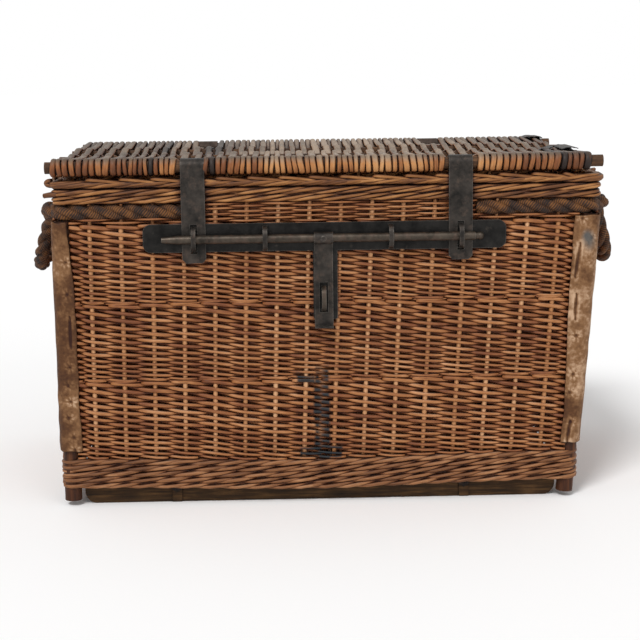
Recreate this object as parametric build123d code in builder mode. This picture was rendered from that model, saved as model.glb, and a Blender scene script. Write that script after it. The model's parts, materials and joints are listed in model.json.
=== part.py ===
from build123d import *
import math
import os

# A wicker trunk: woven walls between corner posts, a woven lid on long sticks, iron lock
# fittings, rawhide corners and rope handles. Millimetres. X runs to the right, Y from the
# front to the rear and Z up from the floor.

# Basket
depth = 500
foot_half_width = 430
side_lean = 0.036
side_skew = 0.036
skew_pivot_z = 450
wall = 16
fit = 0.3
hide_fit = 0.2
corner_radius = 20

# Heights, from the floor up
runner_height = 31
foot_wale_height = 50.5
base_thickness = 16
wale_bottom = 501
wale_height = 25
border_height = 18

# Thickness of the woven rings and how far they stand out from the wall
foot_wale_thickness = 24
foot_wale_proud = 2
wale_thickness = 17.5
wale_proud = 0.5
border_thickness = 24
border_proud = 3
border_rounding = 5

# Corner posts and stakes
post_radius = 14
post_inset = 17
post_foot_z = 9
stake_radius = 3.5
stake_pitch = 49
stake_post_gap = 10
stake_iron_gap = 0.2
front_stake_shift = -27.8
side_stake_pitch = 44

# Base sticks and runners
base_stick_radius = 4.5
base_stick_pitch = 74
base_sticks_each_side = 2
runner_end_setback = 37
runner_thickness = 28
runner_setback = 21
runner_end_radius = 20
lashing_x = 240
lashing_width = 16
lashing_thickness = 2.5

# Rawhide corners
hide_thickness = 3
hide_arm = 47
hide_above_foot = 11

# Ropes
rope_radius = 12.5
rope_axis_depth = 9.5
rope_below_wale = 0.5
rope_corner_radius = 20
rope_turn_radius = 22
rope_leave_setback = 40
rope_out_setback = 59
rope_notch_setback = 68
rope_exit_setback = 70
rope_out_gap = 0.5
rope_tilt = 20
tail_left_of_hasp = 15.5
tail_right_of_hasp = 27
tail_beside_hinge = 2

# Lid
lid_left_short = 5
lid_right_short = 26
lid_gap = 0.3
lid_slab = 26
lid_roll_radius = 16
lid_stick_radius = 9.5
lid_stick_left_stub = 8
lid_stick_right_stub = 20
inner_stick_radius = 7
inner_stick_count = 2
inner_stick_left_stub = 7
inner_stick_right_stub = 10
notch_depth = 21.5
notch_side_gap = 1.5
patch_thickness = 2.5
corner_patch_width = 34
corner_patch_length = 50
corner_patch_inset = 18
corner_patch_setback = 22
side_patch_width = 26
side_patch_length = 170
side_patch_inset = 14
side_patch_forward = 65

# Iron fittings on the front
plate_thickness = 3
plate_x = -3
plate_length = 586
plate_below_bar = 21.5
plate_height = 45.5
plate_corner = 13
plate_leg_width = 39
plate_leg_below_staple = 34.3
plate_leg_corner = 3
hasp_width = 38
hasp_thickness = 3
hasp_below_bar = 39
hasp_chamfer = 6
hasp_slot_width = 11
hasp_slot_height = 47
hasp_left_inset = 82
hasp_right_inset = 74
bar_radius = 7
bar_below_wale = 57
bar_left_reach = 51
bar_right_reach = 37
bar_tip_length = 25
bar_tip_radius = 4.5
bar_gap = 1.6
knob_radius = 6.7
knob_neck_radius = 5.5
knob_neck_length = 5
lock_hasp_x = -6
lock_hasp_width = 30
lock_hasp_thickness = 2.8
lock_hasp_below_staple = 47.5
lock_hasp_lip = 9
lock_slot_width = 13.6
lock_slot_below_staple = 22.5
lock_slot_above_staple = 26.5
rivet_head_radius = 4.5
rivet_crown_radius = 2.8
rivet_shank_radius = 2.5

# Staples, bent from flat iron and clenched inside the wall
staple_width = 7
staple_thickness = 4
staple_bend = 15
staple_clench = 14
bar_staple_height = 39
bar_staple_gap = 0.5
guide_left_from_hasp = 114.5
guide_right_from_hasp = 113
padlock_below_bar = 99.5
padlock_staple_height = 41

# Hinge straps on the rear
hinge_x = 211
hinge_strap_below_wale = 75
hinge_joggle = 12
hinge_rivet_low_below_wale = 60
hinge_rivet_high_below_wale = 28
hinge_rivet_radius = 3
hinge_rivet_head_radius = 6
hinge_rivet_head = 2.5
backing_below_wale = 72
backing_height = 56
backing_thickness = 2.5

# Places worked out from the sizes
foot_top = runner_height + foot_wale_height
wale_top = wale_bottom + wale_height
border_top = wale_top + border_height
rope_z = wale_bottom - rope_radius - rope_below_wale
rope_floor = rope_z - rope_radius - fit
bar_z = wale_bottom - bar_below_wale
padlock_staple_z = bar_z - padlock_below_bar
eye_radius = lid_stick_radius + fit
stick_z = border_top + lid_gap + lid_roll_radius
stick_inset = eye_radius - plate_thickness - fit
bar_reach = plate_thickness + fit + hasp_thickness + bar_gap + bar_radius
crown_reach = bar_reach + bar_radius + bar_staple_gap + staple_thickness
rear_reach = lid_roll_radius - stick_inset
centre_y = (crown_reach - rear_reach) / 2
front_face = centre_y - depth / 2
rear_face = centre_y + depth / 2
front_stick_y = front_face + stick_inset
rear_stick_y = rear_face - stick_inset
bar_y = front_face - bar_reach
crown_y = front_face - crown_reach
hasp_left_x = plate_x - plate_length / 2 + hasp_left_inset
hasp_right_x = plate_x + plate_length / 2 - hasp_right_inset
rope_notch_y = depth / 2 - rope_notch_setback
through = 4 * wall


def half_x(z):
    """Half the width over the side walls at a height."""
    return foot_half_width + side_lean * (z - foot_top)


def middle_x(z):
    """The middle between the side walls at a height: the basket leans a little to the right."""
    return side_skew * (z - skew_pivot_z)


def side_x(side, z):
    """The outer face of the side wall on a side (-1 left), at a height."""
    return middle_x(z) + side * half_x(z)


def post_point(side, end, z):
    """The axis of the corner post on a side (-1 left) and end (-1 front), at a height."""
    return (
        side_x(side, z) - side * post_inset,
        centre_y + end * (depth / 2 - post_inset),
        z,
    )


def rods(pairs, radius):
    """Round rods, one along each pair of points."""
    with BuildPart() as group:
        for start, end in pairs:
            run = Vector(*end) - Vector(*start)
            with BuildSketch(Plane(origin=start, z_dir=run)):
                Circle(radius)
            extrude(amount=run.length)
    return group.part


def tube(points, radii, radius):
    """A round rope along straight runs joined by tangent arcs."""
    with BuildPart() as rope:
        with BuildLine() as path:
            FilletPolyline(*points, radius=radii)
        with BuildSketch(Plane(origin=path.line @ 0, z_dir=path.line % 0)):
            Circle(radius)
        sweep()
    return rope.part


def woven_ring(bottom, height, thickness, proud):
    """A ring of weave around the basket at one height."""
    middle = bottom + height / 2
    reach_x = half_x(middle) + proud
    reach_y = depth / 2 + proud
    with BuildPart() as ring:
        with BuildSketch(Plane.XY.offset(bottom)):
            with Locations((middle_x(middle), centre_y)):
                RectangleRounded(2 * reach_x, 2 * reach_y, corner_radius)
                RectangleRounded(
                    2 * (reach_x - thickness),
                    2 * (reach_y - thickness),
                    corner_radius / 2,
                    mode=Mode.SUBTRACT,
                )
        extrude(amount=height)
    return ring.part


def save(part, name):
    """Label a finished piece and write it."""
    part.label = name
    export_step(part, f"parts/{name}.step")


os.makedirs("parts", exist_ok=True)

# Corner posts, round sticks whose feet stop short of the floor
corners = {
    "front_left": (-1, -1),
    "front_right": (1, -1),
    "rear_left": (-1, 1),
    "rear_right": (1, 1),
}
post_top = rope_floor - (side_lean + side_skew) * post_radius
post_pairs = [
    (post_point(side, end, post_foot_z), post_point(side, end, post_top))
    for side, end in corners.values()
]
for corner, pair in zip(corners, post_pairs):
    save(rods([pair], post_radius), f"corner_post_{corner}")
bore_pairs = [
    (post_point(side, end, 0), post_point(side, end, wale_bottom))
    for side, end in corners.values()
]
post_bores = rods(bore_pairs, post_radius + fit)

# Staple positions: the middle of each staple, and its height over the bends
staples = {
    "hasp_staple_left": (hasp_left_x, bar_z, bar_staple_height),
    "guide_staple_left": (hasp_left_x + guide_left_from_hasp, bar_z, bar_staple_height),
    "guide_staple_right": (hasp_right_x - guide_right_from_hasp, bar_z, bar_staple_height),
    "hasp_staple_right": (hasp_right_x, bar_z, bar_staple_height),
    "padlock_staple": (lock_hasp_x, padlock_staple_z, padlock_staple_height),
}
leg_points = [
    (x, front_face, z + end * (height - staple_thickness) / 2)
    for x, z, height in staples.values()
    for end in (-1, 1)
]
leg_hole_width = staple_width + 2 * fit
leg_hole_height = staple_thickness + 2 * fit
hinge_rivet_points = [
    (side * hinge_x, wale_bottom - drop)
    for side in (-1, 1)
    for drop in (hinge_rivet_low_below_wale, hinge_rivet_high_below_wale)
]

# Stakes, the upright rods that the weave goes round
stake_bottom = runner_height + fit
stake_top = wale_top - fit


def stake_x(foot_x, z):
    """Where a stake of the front or rear wall stands at a height: they fan out with the sides."""
    return middle_x(z) + foot_x * half_x(z) / foot_half_width


def beside_iron(foot_x, irons, iron_half_width):
    """The foot of a stake, moved sideways where the stake would meet an iron through the wall."""
    clearance = stake_radius + fit + iron_half_width + stake_iron_gap
    for iron_x, iron_z in irons:
        offset = stake_x(foot_x, iron_z) - iron_x
        if abs(offset) < clearance:
            moved_x = iron_x + math.copysign(clearance, offset)
            foot_x = (moved_x - middle_x(iron_z)) * foot_half_width / half_x(iron_z)
    return foot_x


def long_wall_stakes(y, shift, irons, iron_half_width):
    """The stakes of the front or rear wall, which fan out with the side walls."""
    room = foot_half_width - post_inset - post_radius - stake_post_gap - stake_radius
    first = math.ceil((-room - shift) / stake_pitch)
    last = math.floor((room - shift) / stake_pitch)
    evenly = [shift + stake_pitch * i for i in range(first, last + 1)]
    feet = [beside_iron(x, irons, iron_half_width) for x in evenly]
    return [
        ((stake_x(x, stake_bottom), y, stake_bottom), (stake_x(x, stake_top), y, stake_top))
        for x in feet
    ]


def side_wall_stakes(side):
    """The stakes of a side wall, between its rope notches, which lean with it."""
    count = math.floor((rope_notch_y - stake_radius - fit) / side_stake_pitch)
    rows = [centre_y + side_stake_pitch * i for i in range(-count, count + 1)]
    low = side_x(side, stake_bottom) - side * wall / 2
    high = side_x(side, stake_top) - side * wall / 2
    return [((low, y, stake_bottom), (high, y, stake_top)) for y in rows]


leg_places = [(x, z) for x, _, z in leg_points]
rivet_hole_radius = hinge_rivet_radius + fit
stakes = {
    "front": long_wall_stakes(
        front_face + wall / 2, front_stake_shift, leg_places, leg_hole_width / 2
    ),
    "rear": long_wall_stakes(
        rear_face - wall / 2, stake_pitch / 2, hinge_rivet_points, rivet_hole_radius
    ),
    "left": side_wall_stakes(-1),
    "right": side_wall_stakes(1),
}
for wall_name, pairs in stakes.items():
    save(rods(pairs, stake_radius), f"{wall_name}_stakes")
stake_bores = {name: rods(pairs, stake_radius + fit) for name, pairs in stakes.items()}

# Where each rope tail ends, along the front or rear wall
tail_ends = {
    "front_left": hasp_left_x - tail_left_of_hasp,
    "front_right": hasp_right_x + tail_right_of_hasp,
    "rear_left": -hinge_x - hasp_width / 2 - tail_beside_hinge,
    "rear_right": hinge_x + hasp_width / 2 + tail_beside_hinge,
}


def long_wall_outline(end_name):
    """The outline of the front or rear wall, low at its ends to seat the ropes."""
    tail_left = tail_ends[f"{end_name}_left"] + fit
    tail_right = tail_ends[f"{end_name}_right"] - fit
    return [
        (side_x(-1, foot_top) + post_inset, foot_top),
        (side_x(1, foot_top) - post_inset, foot_top),
        (side_x(1, rope_floor) - post_inset, rope_floor),
        (tail_right, rope_floor),
        (tail_right, wale_bottom),
        (tail_left, wale_bottom),
        (tail_left, rope_floor),
        (side_x(-1, rope_floor) + post_inset, rope_floor),
    ]


# Front wall
with BuildPart() as front_wall:
    with BuildSketch(Plane.XZ.offset(-front_face)):
        with BuildLine():
            Polyline(long_wall_outline("front"), close=True)
        make_face()
    extrude(amount=-wall)
    add(post_bores, mode=Mode.SUBTRACT)
    add(stake_bores["front"], mode=Mode.SUBTRACT)
    with Locations(*leg_points):
        Box(leg_hole_width, through, leg_hole_height, mode=Mode.SUBTRACT)
save(front_wall.part, "front_wall")

# Rear wall
with BuildPart() as rear_wall:
    with BuildSketch(Plane.XZ.offset(wall - rear_face)):
        with BuildLine():
            Polyline(long_wall_outline("rear"), close=True)
        make_face()
    extrude(amount=-wall)
    add(post_bores, mode=Mode.SUBTRACT)
    add(stake_bores["rear"], mode=Mode.SUBTRACT)
    with BuildSketch(Plane.XZ.offset(wall - rear_face)):
        with Locations(*hinge_rivet_points):
            Circle(rivet_hole_radius)
    extrude(amount=-wall, mode=Mode.SUBTRACT)
save(rear_wall.part, "rear_wall")

# Side walls, each a leaning panel with its top corners low for the ropes
for wall_name, side in (("left", -1), ("right", 1)):
    half_length = depth / 2 - post_inset
    with BuildPart() as side_wall:
        with BuildSketch(Plane.XZ.offset(-centre_y - half_length)):
            with BuildLine():
                Polyline(
                    (side_x(side, foot_top), foot_top),
                    (side_x(side, wale_bottom), wale_bottom),
                    (side_x(side, wale_bottom) - side * wall, wale_bottom),
                    (side_x(side, foot_top) - side * wall, foot_top),
                    close=True,
                )
            make_face()
        extrude(amount=2 * half_length)
        add(post_bores, mode=Mode.SUBTRACT)
        add(stake_bores[wall_name], mode=Mode.SUBTRACT)
        for end in (-1, 1):
            notch_y = centre_y + end * (rope_notch_y + depth / 2) / 2
            with Locations((side_x(side, rope_z), notch_y, rope_floor)):
                Box(
                    through,
                    rope_notch_setback,
                    wale_bottom,
                    align=(Align.CENTER, Align.CENTER, Align.MIN),
                    mode=Mode.SUBTRACT,
                )
    save(side_wall.part, f"{wall_name}_wall")

# Foot wale, upper wale and rolled border
with BuildPart() as foot_wale:
    add(woven_ring(runner_height, foot_wale_height, foot_wale_thickness, foot_wale_proud))
    add(post_bores, mode=Mode.SUBTRACT)
    for bores in stake_bores.values():
        add(bores, mode=Mode.SUBTRACT)
save(foot_wale.part, "foot_wale")

with BuildPart() as upper_wale:
    add(woven_ring(wale_bottom, wale_height, wale_thickness, wale_proud))
    for bores in stake_bores.values():
        add(bores, mode=Mode.SUBTRACT)
save(upper_wale.part, "upper_wale")

with BuildPart() as top_border:
    add(woven_ring(wale_top, border_height, border_thickness, border_proud))
    fillet(edges().group_by(Axis.Z)[-1], border_rounding)
save(top_border.part, "top_border")

# Base panel, woven round its own sticks, resting on the runners
foot_wale_z = runner_height + foot_wale_height / 2
base_x = middle_x(foot_wale_z)
base_half_x = half_x(foot_wale_z) + foot_wale_proud - foot_wale_thickness - fit
base_half_y = depth / 2 + foot_wale_proud - foot_wale_thickness - fit
base_stick_z = runner_height + base_thickness / 2
base_stick_rows = [
    centre_y + i * base_stick_pitch
    for i in range(-base_sticks_each_side, base_sticks_each_side + 1)
]
base_stick_pairs = [
    ((base_x - base_half_x, y, base_stick_z), (base_x + base_half_x, y, base_stick_z))
    for y in base_stick_rows
]
save(rods(base_stick_pairs, base_stick_radius), "base_sticks")
with BuildPart() as base_panel:
    with BuildSketch(Plane.XY.offset(runner_height)):
        with Locations((base_x, centre_y)):
            RectangleRounded(2 * base_half_x, 2 * base_half_y, corner_radius / 2)
    extrude(amount=base_thickness)
    add(post_bores, mode=Mode.SUBTRACT)
    add(rods(base_stick_pairs, base_stick_radius + fit), mode=Mode.SUBTRACT)
save(base_panel.part, "base_panel")

# Runners, boards on edge under the base, and the lashings that pass under them
runner_half_length = foot_half_width - runner_end_setback
lashing_drop = lashing_thickness + fit
for end_name, end in (("front", -1), ("rear", 1)):
    runner_y = centre_y + end * (depth / 2 - runner_setback - runner_thickness / 2)
    with BuildPart() as runner:
        with BuildSketch(Plane.XZ.offset(-runner_y - runner_thickness / 2)):
            with Locations((base_x, runner_height / 2)):
                Rectangle(2 * runner_half_length, runner_height)
            fillet(vertices().group_by(Axis.Y)[0], runner_end_radius)
        extrude(amount=runner_thickness)
        with Locations(*[(base_x + side * lashing_x, runner_y, 0) for side in (-1, 1)]):
            Box(
                lashing_width + 2 * fit,
                2 * runner_thickness,
                2 * (lashing_drop + fit),
                mode=Mode.SUBTRACT,
            )
    save(runner.part, f"runner_{end_name}")
with BuildPart() as runner_lashings:
    for end in (-1, 1):
        runner_y = centre_y + end * (depth / 2 - runner_setback - runner_thickness / 2)
        for side in (-1, 1):
            lashing_left = base_x + side * lashing_x - lashing_width / 2
            with BuildSketch(Plane.YZ.offset(lashing_left)):
                with Locations((runner_y, fit)):
                    Rectangle(
                        runner_thickness + 2 * lashing_drop,
                        runner_height - fit,
                        align=(Align.CENTER, Align.MIN),
                    )
                with Locations((runner_y, fit + lashing_thickness)):
                    Rectangle(
                        runner_thickness + 2 * fit,
                        runner_height,
                        align=(Align.CENTER, Align.MIN),
                        mode=Mode.SUBTRACT,
                    )
            extrude(amount=lashing_width)
save(runner_lashings.part, "runner_lashings")

# Rawhide corners, bent round the wall ends and leaning with the posts
hide_bottom = foot_top + hide_above_foot
for corner, (side, end) in corners.items():
    inner_x = half_x(hide_bottom) + hide_fit
    inner_y = depth / 2
    hide_x = middle_x(hide_bottom)
    lean = Vector(side_skew + side * side_lean, 0, 1) * (rope_floor - fit - hide_bottom)
    with BuildPart() as corner_hide:
        with BuildSketch(Plane.XY.offset(hide_bottom)):
            with Locations((hide_x, centre_y)):
                RectangleRounded(
                    2 * (inner_x + hide_thickness),
                    2 * (inner_y + hide_thickness),
                    post_inset + hide_thickness,
                )
                RectangleRounded(2 * inner_x, 2 * inner_y, post_inset, mode=Mode.SUBTRACT)
            with Locations((hide_x + side * inner_x, centre_y + end * inner_y)):
                Rectangle(2 * hide_arm, 2 * hide_arm, mode=Mode.INTERSECT)
        extrude(amount=lean.length, dir=lean)
    save(corner_hide.part, f"corner_hide_{corner}")

# Rope tails, laid along the front and rear walls, round the corner and out of the side wall
rope_out = rope_radius + rope_out_gap
rope_leave_y = depth / 2 - rope_leave_setback
rope_out_y = depth / 2 - rope_out_setback
rope_exit_y = depth / 2 - rope_exit_setback
for corner, (side, end) in corners.items():
    long_wall_y = centre_y + end * (depth / 2 - rope_axis_depth)
    in_wall_x = side_x(side, rope_z) - side * rope_axis_depth
    loop_x = side_x(side, rope_z) + side * rope_out
    tail_points = [
        (tail_ends[corner], long_wall_y, rope_z),
        (in_wall_x, long_wall_y, rope_z),
        (in_wall_x, centre_y + end * rope_leave_y, rope_z),
        (loop_x, centre_y + end * rope_out_y, rope_z),
        (loop_x, centre_y + end * rope_exit_y, rope_z),
    ]
    tail_radii = [rope_corner_radius, rope_turn_radius, rope_turn_radius]
    with BuildPart() as rope_tail:
        add(tube(tail_points, tail_radii, rope_radius))
        add(stake_bores["front" if end < 0 else "rear"], mode=Mode.SUBTRACT)
    save(rope_tail.part, f"rope_tail_{corner}")

# Rope loops, hung from the ends of the tails: each point is a place along the wall and a
# drop below the tails, in a plane that tilts away from the wall
loop_half_span = 180
arc_share = 0.45
loop_left = [
    (-180, 0), (-154, 0), (-129, 8), (-107, 23), (-90, 45), (-79, 75), (-60, 98), (-39, 112),
    (-14, 120), (13, 120), (40, 111), (60, 97), (77, 76), (88, 47), (104, 25), (126, 9),
    (153, 0), (180, 0),
]
loop_right = [
    (-180, 0), (-154, 0), (-129, 8), (-106, 24), (-90, 45), (-81, 70), (-65, 93), (-43, 110),
    (-18, 119), (8, 120), (35, 113), (58, 98), (77, 75), (90, 43), (106, 23), (128, 8),
    (154, 0), (180, 0),
]


def loop_path(side, drops):
    """The points of a rope loop and the radius of the arc at each of its turns."""
    stretch = rope_exit_y / loop_half_span
    loop_x = side_x(side, rope_z) + side * rope_out
    outward = math.sin(math.radians(rope_tilt))
    down = math.cos(math.radians(rope_tilt))
    points = [
        Vector(loop_x + side * drop * outward, centre_y + y * stretch, rope_z - drop * down)
        for y, drop in drops
    ]
    radii = []
    for before, corner, after in zip(points, points[1:], points[2:]):
        run_in = corner - before
        run_out = after - corner
        half_turn = math.radians(run_in.get_angle(run_out)) / 2
        radii.append(arc_share * min(run_in.length, run_out.length) / math.tan(half_turn))
    return points, radii


for loop_name, side, drops in (("left", -1, loop_left), ("right", 1, loop_right)):
    points, radii = loop_path(side, drops)
    rope_loop = tube(points, radii, rope_radius)
    length = sum((b - a).length for a, b in zip(points, points[1:]))
    print(f"rope_loop_{loop_name} radii", [round(radius) for radius in radii])
    print(f"rope_loop_{loop_name} volume", round(rope_loop.volume), "route", round(length, 1))
    save(rope_loop, f"rope_loop_{loop_name}")

# Lock plate, a long bar of sheet iron with a leg behind the lock hasp
plate_z = bar_z - plate_below_bar + plate_height / 2
plate_leg_bottom = padlock_staple_z - plate_leg_below_staple
with BuildPart() as lock_plate:
    with BuildSketch(Plane.XZ.offset(-front_face)):
        with Locations((plate_x, plate_z)):
            RectangleRounded(plate_length, plate_height, plate_corner)
        with Locations((plate_x, (plate_z + plate_leg_bottom) / 2)):
            RectangleRounded(plate_leg_width, plate_z - plate_leg_bottom, plate_leg_corner)
    extrude(amount=plate_thickness)
    with Locations(*leg_points):
        Box(leg_hole_width, through, leg_hole_height, mode=Mode.SUBTRACT)
save(lock_plate.part, "lock_plate")

# Staples
for name, (x, z, height) in staples.items():
    inside = front_face + wall
    top = z + height / 2
    bottom = z - height / 2
    with BuildPart() as staple:
        with BuildSketch(Plane.YZ.offset(x - staple_width / 2)):
            with BuildLine():
                Polyline(
                    (crown_y, bottom),
                    (inside, bottom),
                    (inside, bottom - staple_clench),
                    (inside + staple_thickness, bottom - staple_clench),
                    (inside + staple_thickness, bottom + staple_thickness),
                    (crown_y + staple_thickness, bottom + staple_thickness),
                    (crown_y + staple_thickness, top - staple_thickness),
                    (inside + staple_thickness, top - staple_thickness),
                    (inside + staple_thickness, top + staple_clench),
                    (inside, top + staple_clench),
                    (inside, top),
                    (crown_y, top),
                    close=True,
                )
            make_face()
            fillet(vertices().sort_by(Axis.X)[2:4], staple_bend - staple_thickness)
            fillet(vertices().sort_by(Axis.X)[:2], staple_bend)
        extrude(amount=staple_width)
    save(staple.part, name)

# Lock bar, a round bolt with a tapered tip and a knob
bar_left = hasp_left_x - bar_left_reach
bar_right = hasp_right_x + bar_right_reach
neck_x = bar_right - 2 * knob_radius - knob_neck_length + knob_radius / 2
with BuildPart() as lock_bar:
    with Locations(Location((bar_left, bar_y, bar_z), (0, 90, 0))):
        Cone(
            bar_tip_radius,
            bar_radius,
            bar_tip_length,
            align=(Align.CENTER, Align.CENTER, Align.MIN),
        )
    with Locations(Location((bar_left + bar_tip_length, bar_y, bar_z), (0, 90, 0))):
        Cylinder(
            bar_radius,
            neck_x - bar_left - bar_tip_length,
            align=(Align.CENTER, Align.CENTER, Align.MIN),
        )
    with Locations(Location((neck_x, bar_y, bar_z), (0, 90, 0))):
        Cylinder(
            knob_neck_radius,
            bar_right - knob_radius - neck_x,
            align=(Align.CENTER, Align.CENTER, Align.MIN),
        )
    with Locations((bar_right - knob_radius, bar_y, bar_z)):
        Sphere(knob_radius)
save(lock_bar.part, "lock_bar")

# Lock hasp, folded round the bar, with a slot for the padlock staple and a lip to lift it by
lock_eye = bar_radius + fit
lock_eye_outer = lock_eye + lock_hasp_thickness
hasp_back = bar_y + lock_eye_outer
lock_hasp_bottom = padlock_staple_z - lock_hasp_below_staple
lock_slot_bottom = padlock_staple_z - lock_slot_below_staple
lock_slot_top = padlock_staple_z + lock_slot_above_staple
with BuildPart() as lock_hasp:
    with BuildSketch(Plane.YZ.offset(lock_hasp_x - lock_hasp_width / 2)):
        with Locations((bar_y, bar_z)):
            Circle(lock_eye_outer)
        with Locations((hasp_back, lock_hasp_bottom)):
            Rectangle(
                lock_hasp_thickness,
                bar_z - lock_hasp_bottom,
                align=(Align.MAX, Align.MIN),
            )
            Rectangle(
                lock_hasp_thickness + lock_hasp_lip,
                lock_hasp_thickness,
                align=(Align.MAX, Align.MIN),
            )
        with Locations((bar_y, bar_z)):
            Circle(lock_eye, mode=Mode.SUBTRACT)
    extrude(amount=lock_hasp_width)
    with Locations((lock_hasp_x, hasp_back, (lock_slot_bottom + lock_slot_top) / 2)):
        Box(
            lock_slot_width,
            4 * lock_hasp_thickness,
            lock_slot_top - lock_slot_bottom,
            mode=Mode.SUBTRACT,
        )
    with BuildSketch(Plane.XZ.offset(-bar_y)):
        with Locations((lock_hasp_x, bar_z)):
            Circle(rivet_shank_radius + fit)
    extrude(amount=2 * lock_eye_outer, mode=Mode.SUBTRACT)
save(lock_hasp.part, "lock_hasp")

# Rivet through the fold of the lock hasp
rivet_head_y = bar_y - lock_eye_outer
with BuildPart() as lock_hasp_rivet:
    with Locations(Location((lock_hasp_x, rivet_head_y, bar_z), (90, 0, 0))):
        Cone(
            rivet_head_radius,
            rivet_crown_radius,
            rivet_head_y - crown_y,
            align=(Align.CENTER, Align.CENTER, Align.MIN),
        )
    with BuildSketch(Plane.XZ.offset(-rivet_head_y)):
        with Locations((lock_hasp_x, bar_z)):
            Circle(rivet_shank_radius)
    extrude(amount=-lock_hasp_thickness)
save(lock_hasp_rivet.part, "lock_hasp_rivet")

# Lid hasps, hung from the lid's front stick
hasp_bottom = bar_z - hasp_below_bar
for name, x in (("hasp_left", hasp_left_x), ("hasp_right", hasp_right_x)):
    with BuildPart() as hasp:
        with BuildSketch(Plane.YZ.offset(x - hasp_width / 2)):
            with Locations((front_stick_y, stick_z)):
                Circle(eye_radius + hasp_thickness)
            with Locations((front_stick_y - eye_radius, hasp_bottom)):
                Rectangle(
                    hasp_thickness,
                    stick_z - hasp_bottom,
                    align=(Align.MAX, Align.MIN),
                )
            with Locations((front_stick_y, stick_z)):
                Circle(eye_radius, mode=Mode.SUBTRACT)
        extrude(amount=hasp_width)
        chamfer(edges().filter_by(Axis.Y).group_by(Axis.Z)[0], hasp_chamfer)
        with Locations((x, front_stick_y - eye_radius, bar_z)):
            Box(hasp_slot_width, 4 * hasp_thickness, hasp_slot_height, mode=Mode.SUBTRACT)
    save(hasp.part, name)

# Hinge straps, round the lid's rear stick and down the rear wall, with plates and rivets
joggle_top = wale_bottom - fit
joggle_bottom = joggle_top - hinge_joggle
strap_inner = rear_stick_y + eye_radius
strap_outer = strap_inner + hasp_thickness
strap_bottom = wale_bottom - hinge_strap_below_wale
backing_z = wale_bottom - backing_below_wale + backing_height / 2
for name, side in (("left", -1), ("right", 1)):
    with BuildPart() as hinge_strap:
        with BuildSketch(Plane.YZ.offset(side * hinge_x - hasp_width / 2)):
            with Locations((rear_stick_y, stick_z)):
                Circle(eye_radius + hasp_thickness)
            with BuildLine():
                Polyline(
                    (strap_inner, stick_z),
                    (strap_inner, joggle_top),
                    (rear_face, joggle_bottom),
                    (rear_face, strap_bottom),
                    (rear_face + hasp_thickness, strap_bottom),
                    (rear_face + hasp_thickness, joggle_bottom),
                    (strap_outer, joggle_top),
                    (strap_outer, stick_z),
                    close=True,
                )
            make_face()
            with Locations((rear_stick_y, stick_z)):
                Circle(eye_radius, mode=Mode.SUBTRACT)
        extrude(amount=hasp_width)
        with BuildSketch(Plane.XZ.offset(-rear_face)):
            with Locations(*hinge_rivet_points):
                Circle(rivet_hole_radius)
        extrude(amount=-hasp_thickness, mode=Mode.SUBTRACT)
    save(hinge_strap.part, f"hinge_strap_{name}")
    with BuildPart() as hinge_backing:
        with BuildSketch(Plane.XZ.offset(wall - rear_face)):
            with Locations((side * hinge_x, backing_z)):
                Rectangle(hasp_width, backing_height)
            with Locations(*hinge_rivet_points):
                Circle(rivet_hole_radius, mode=Mode.SUBTRACT)
        extrude(amount=backing_thickness)
    save(hinge_backing.part, f"hinge_backing_{name}")

rivet_inside = rear_face - wall - backing_thickness
rivet_outside = rear_face + hasp_thickness
with BuildPart() as hinge_rivets:
    for x, z in hinge_rivet_points:
        with BuildSketch(Plane.XZ.offset(-rivet_inside)):
            with Locations((x, z)):
                Circle(hinge_rivet_radius)
        extrude(amount=rivet_inside - rivet_outside)
        with BuildSketch(Plane.XZ.offset(-rivet_inside)):
            with Locations((x, z)):
                Circle(hinge_rivet_head_radius)
        extrude(amount=hinge_rivet_head)
        with BuildSketch(Plane.XZ.offset(-rivet_outside)):
            with Locations((x, z)):
                Circle(hinge_rivet_head_radius)
        extrude(amount=-hinge_rivet_head)
save(hinge_rivets.part, "hinge_rivets")

# Lid sticks: one long stick at the front and rear, and the thinner ones between them
border_z = wale_top + border_height / 2
lid_left = side_x(-1, border_z) - border_proud + lid_left_short
lid_right = side_x(1, border_z) + border_proud - lid_right_short
lid_stick_left = lid_left - lid_stick_left_stub
lid_stick_right = lid_right + lid_stick_right_stub
front_stick_pair = (
    (lid_stick_left, front_stick_y, stick_z),
    (lid_stick_right, front_stick_y, stick_z),
)
rear_stick_pair = (
    (lid_stick_left, rear_stick_y, stick_z),
    (lid_stick_right, rear_stick_y, stick_z),
)
inner_stick_pitch = (rear_stick_y - front_stick_y) / (inner_stick_count + 1)
inner_stick_rows = [front_stick_y + inner_stick_pitch * (i + 1) for i in range(inner_stick_count)]
inner_stick_left = lid_left - inner_stick_left_stub
inner_stick_right = lid_right + inner_stick_right_stub
inner_stick_pairs = [
    ((inner_stick_left, y, stick_z), (inner_stick_right, y, stick_z)) for y in inner_stick_rows
]
save(rods([front_stick_pair], lid_stick_radius), "lid_stick_front")
save(rods([rear_stick_pair], lid_stick_radius), "lid_stick_rear")
save(rods(inner_stick_pairs, inner_stick_radius), "lid_inner_sticks")

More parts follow.
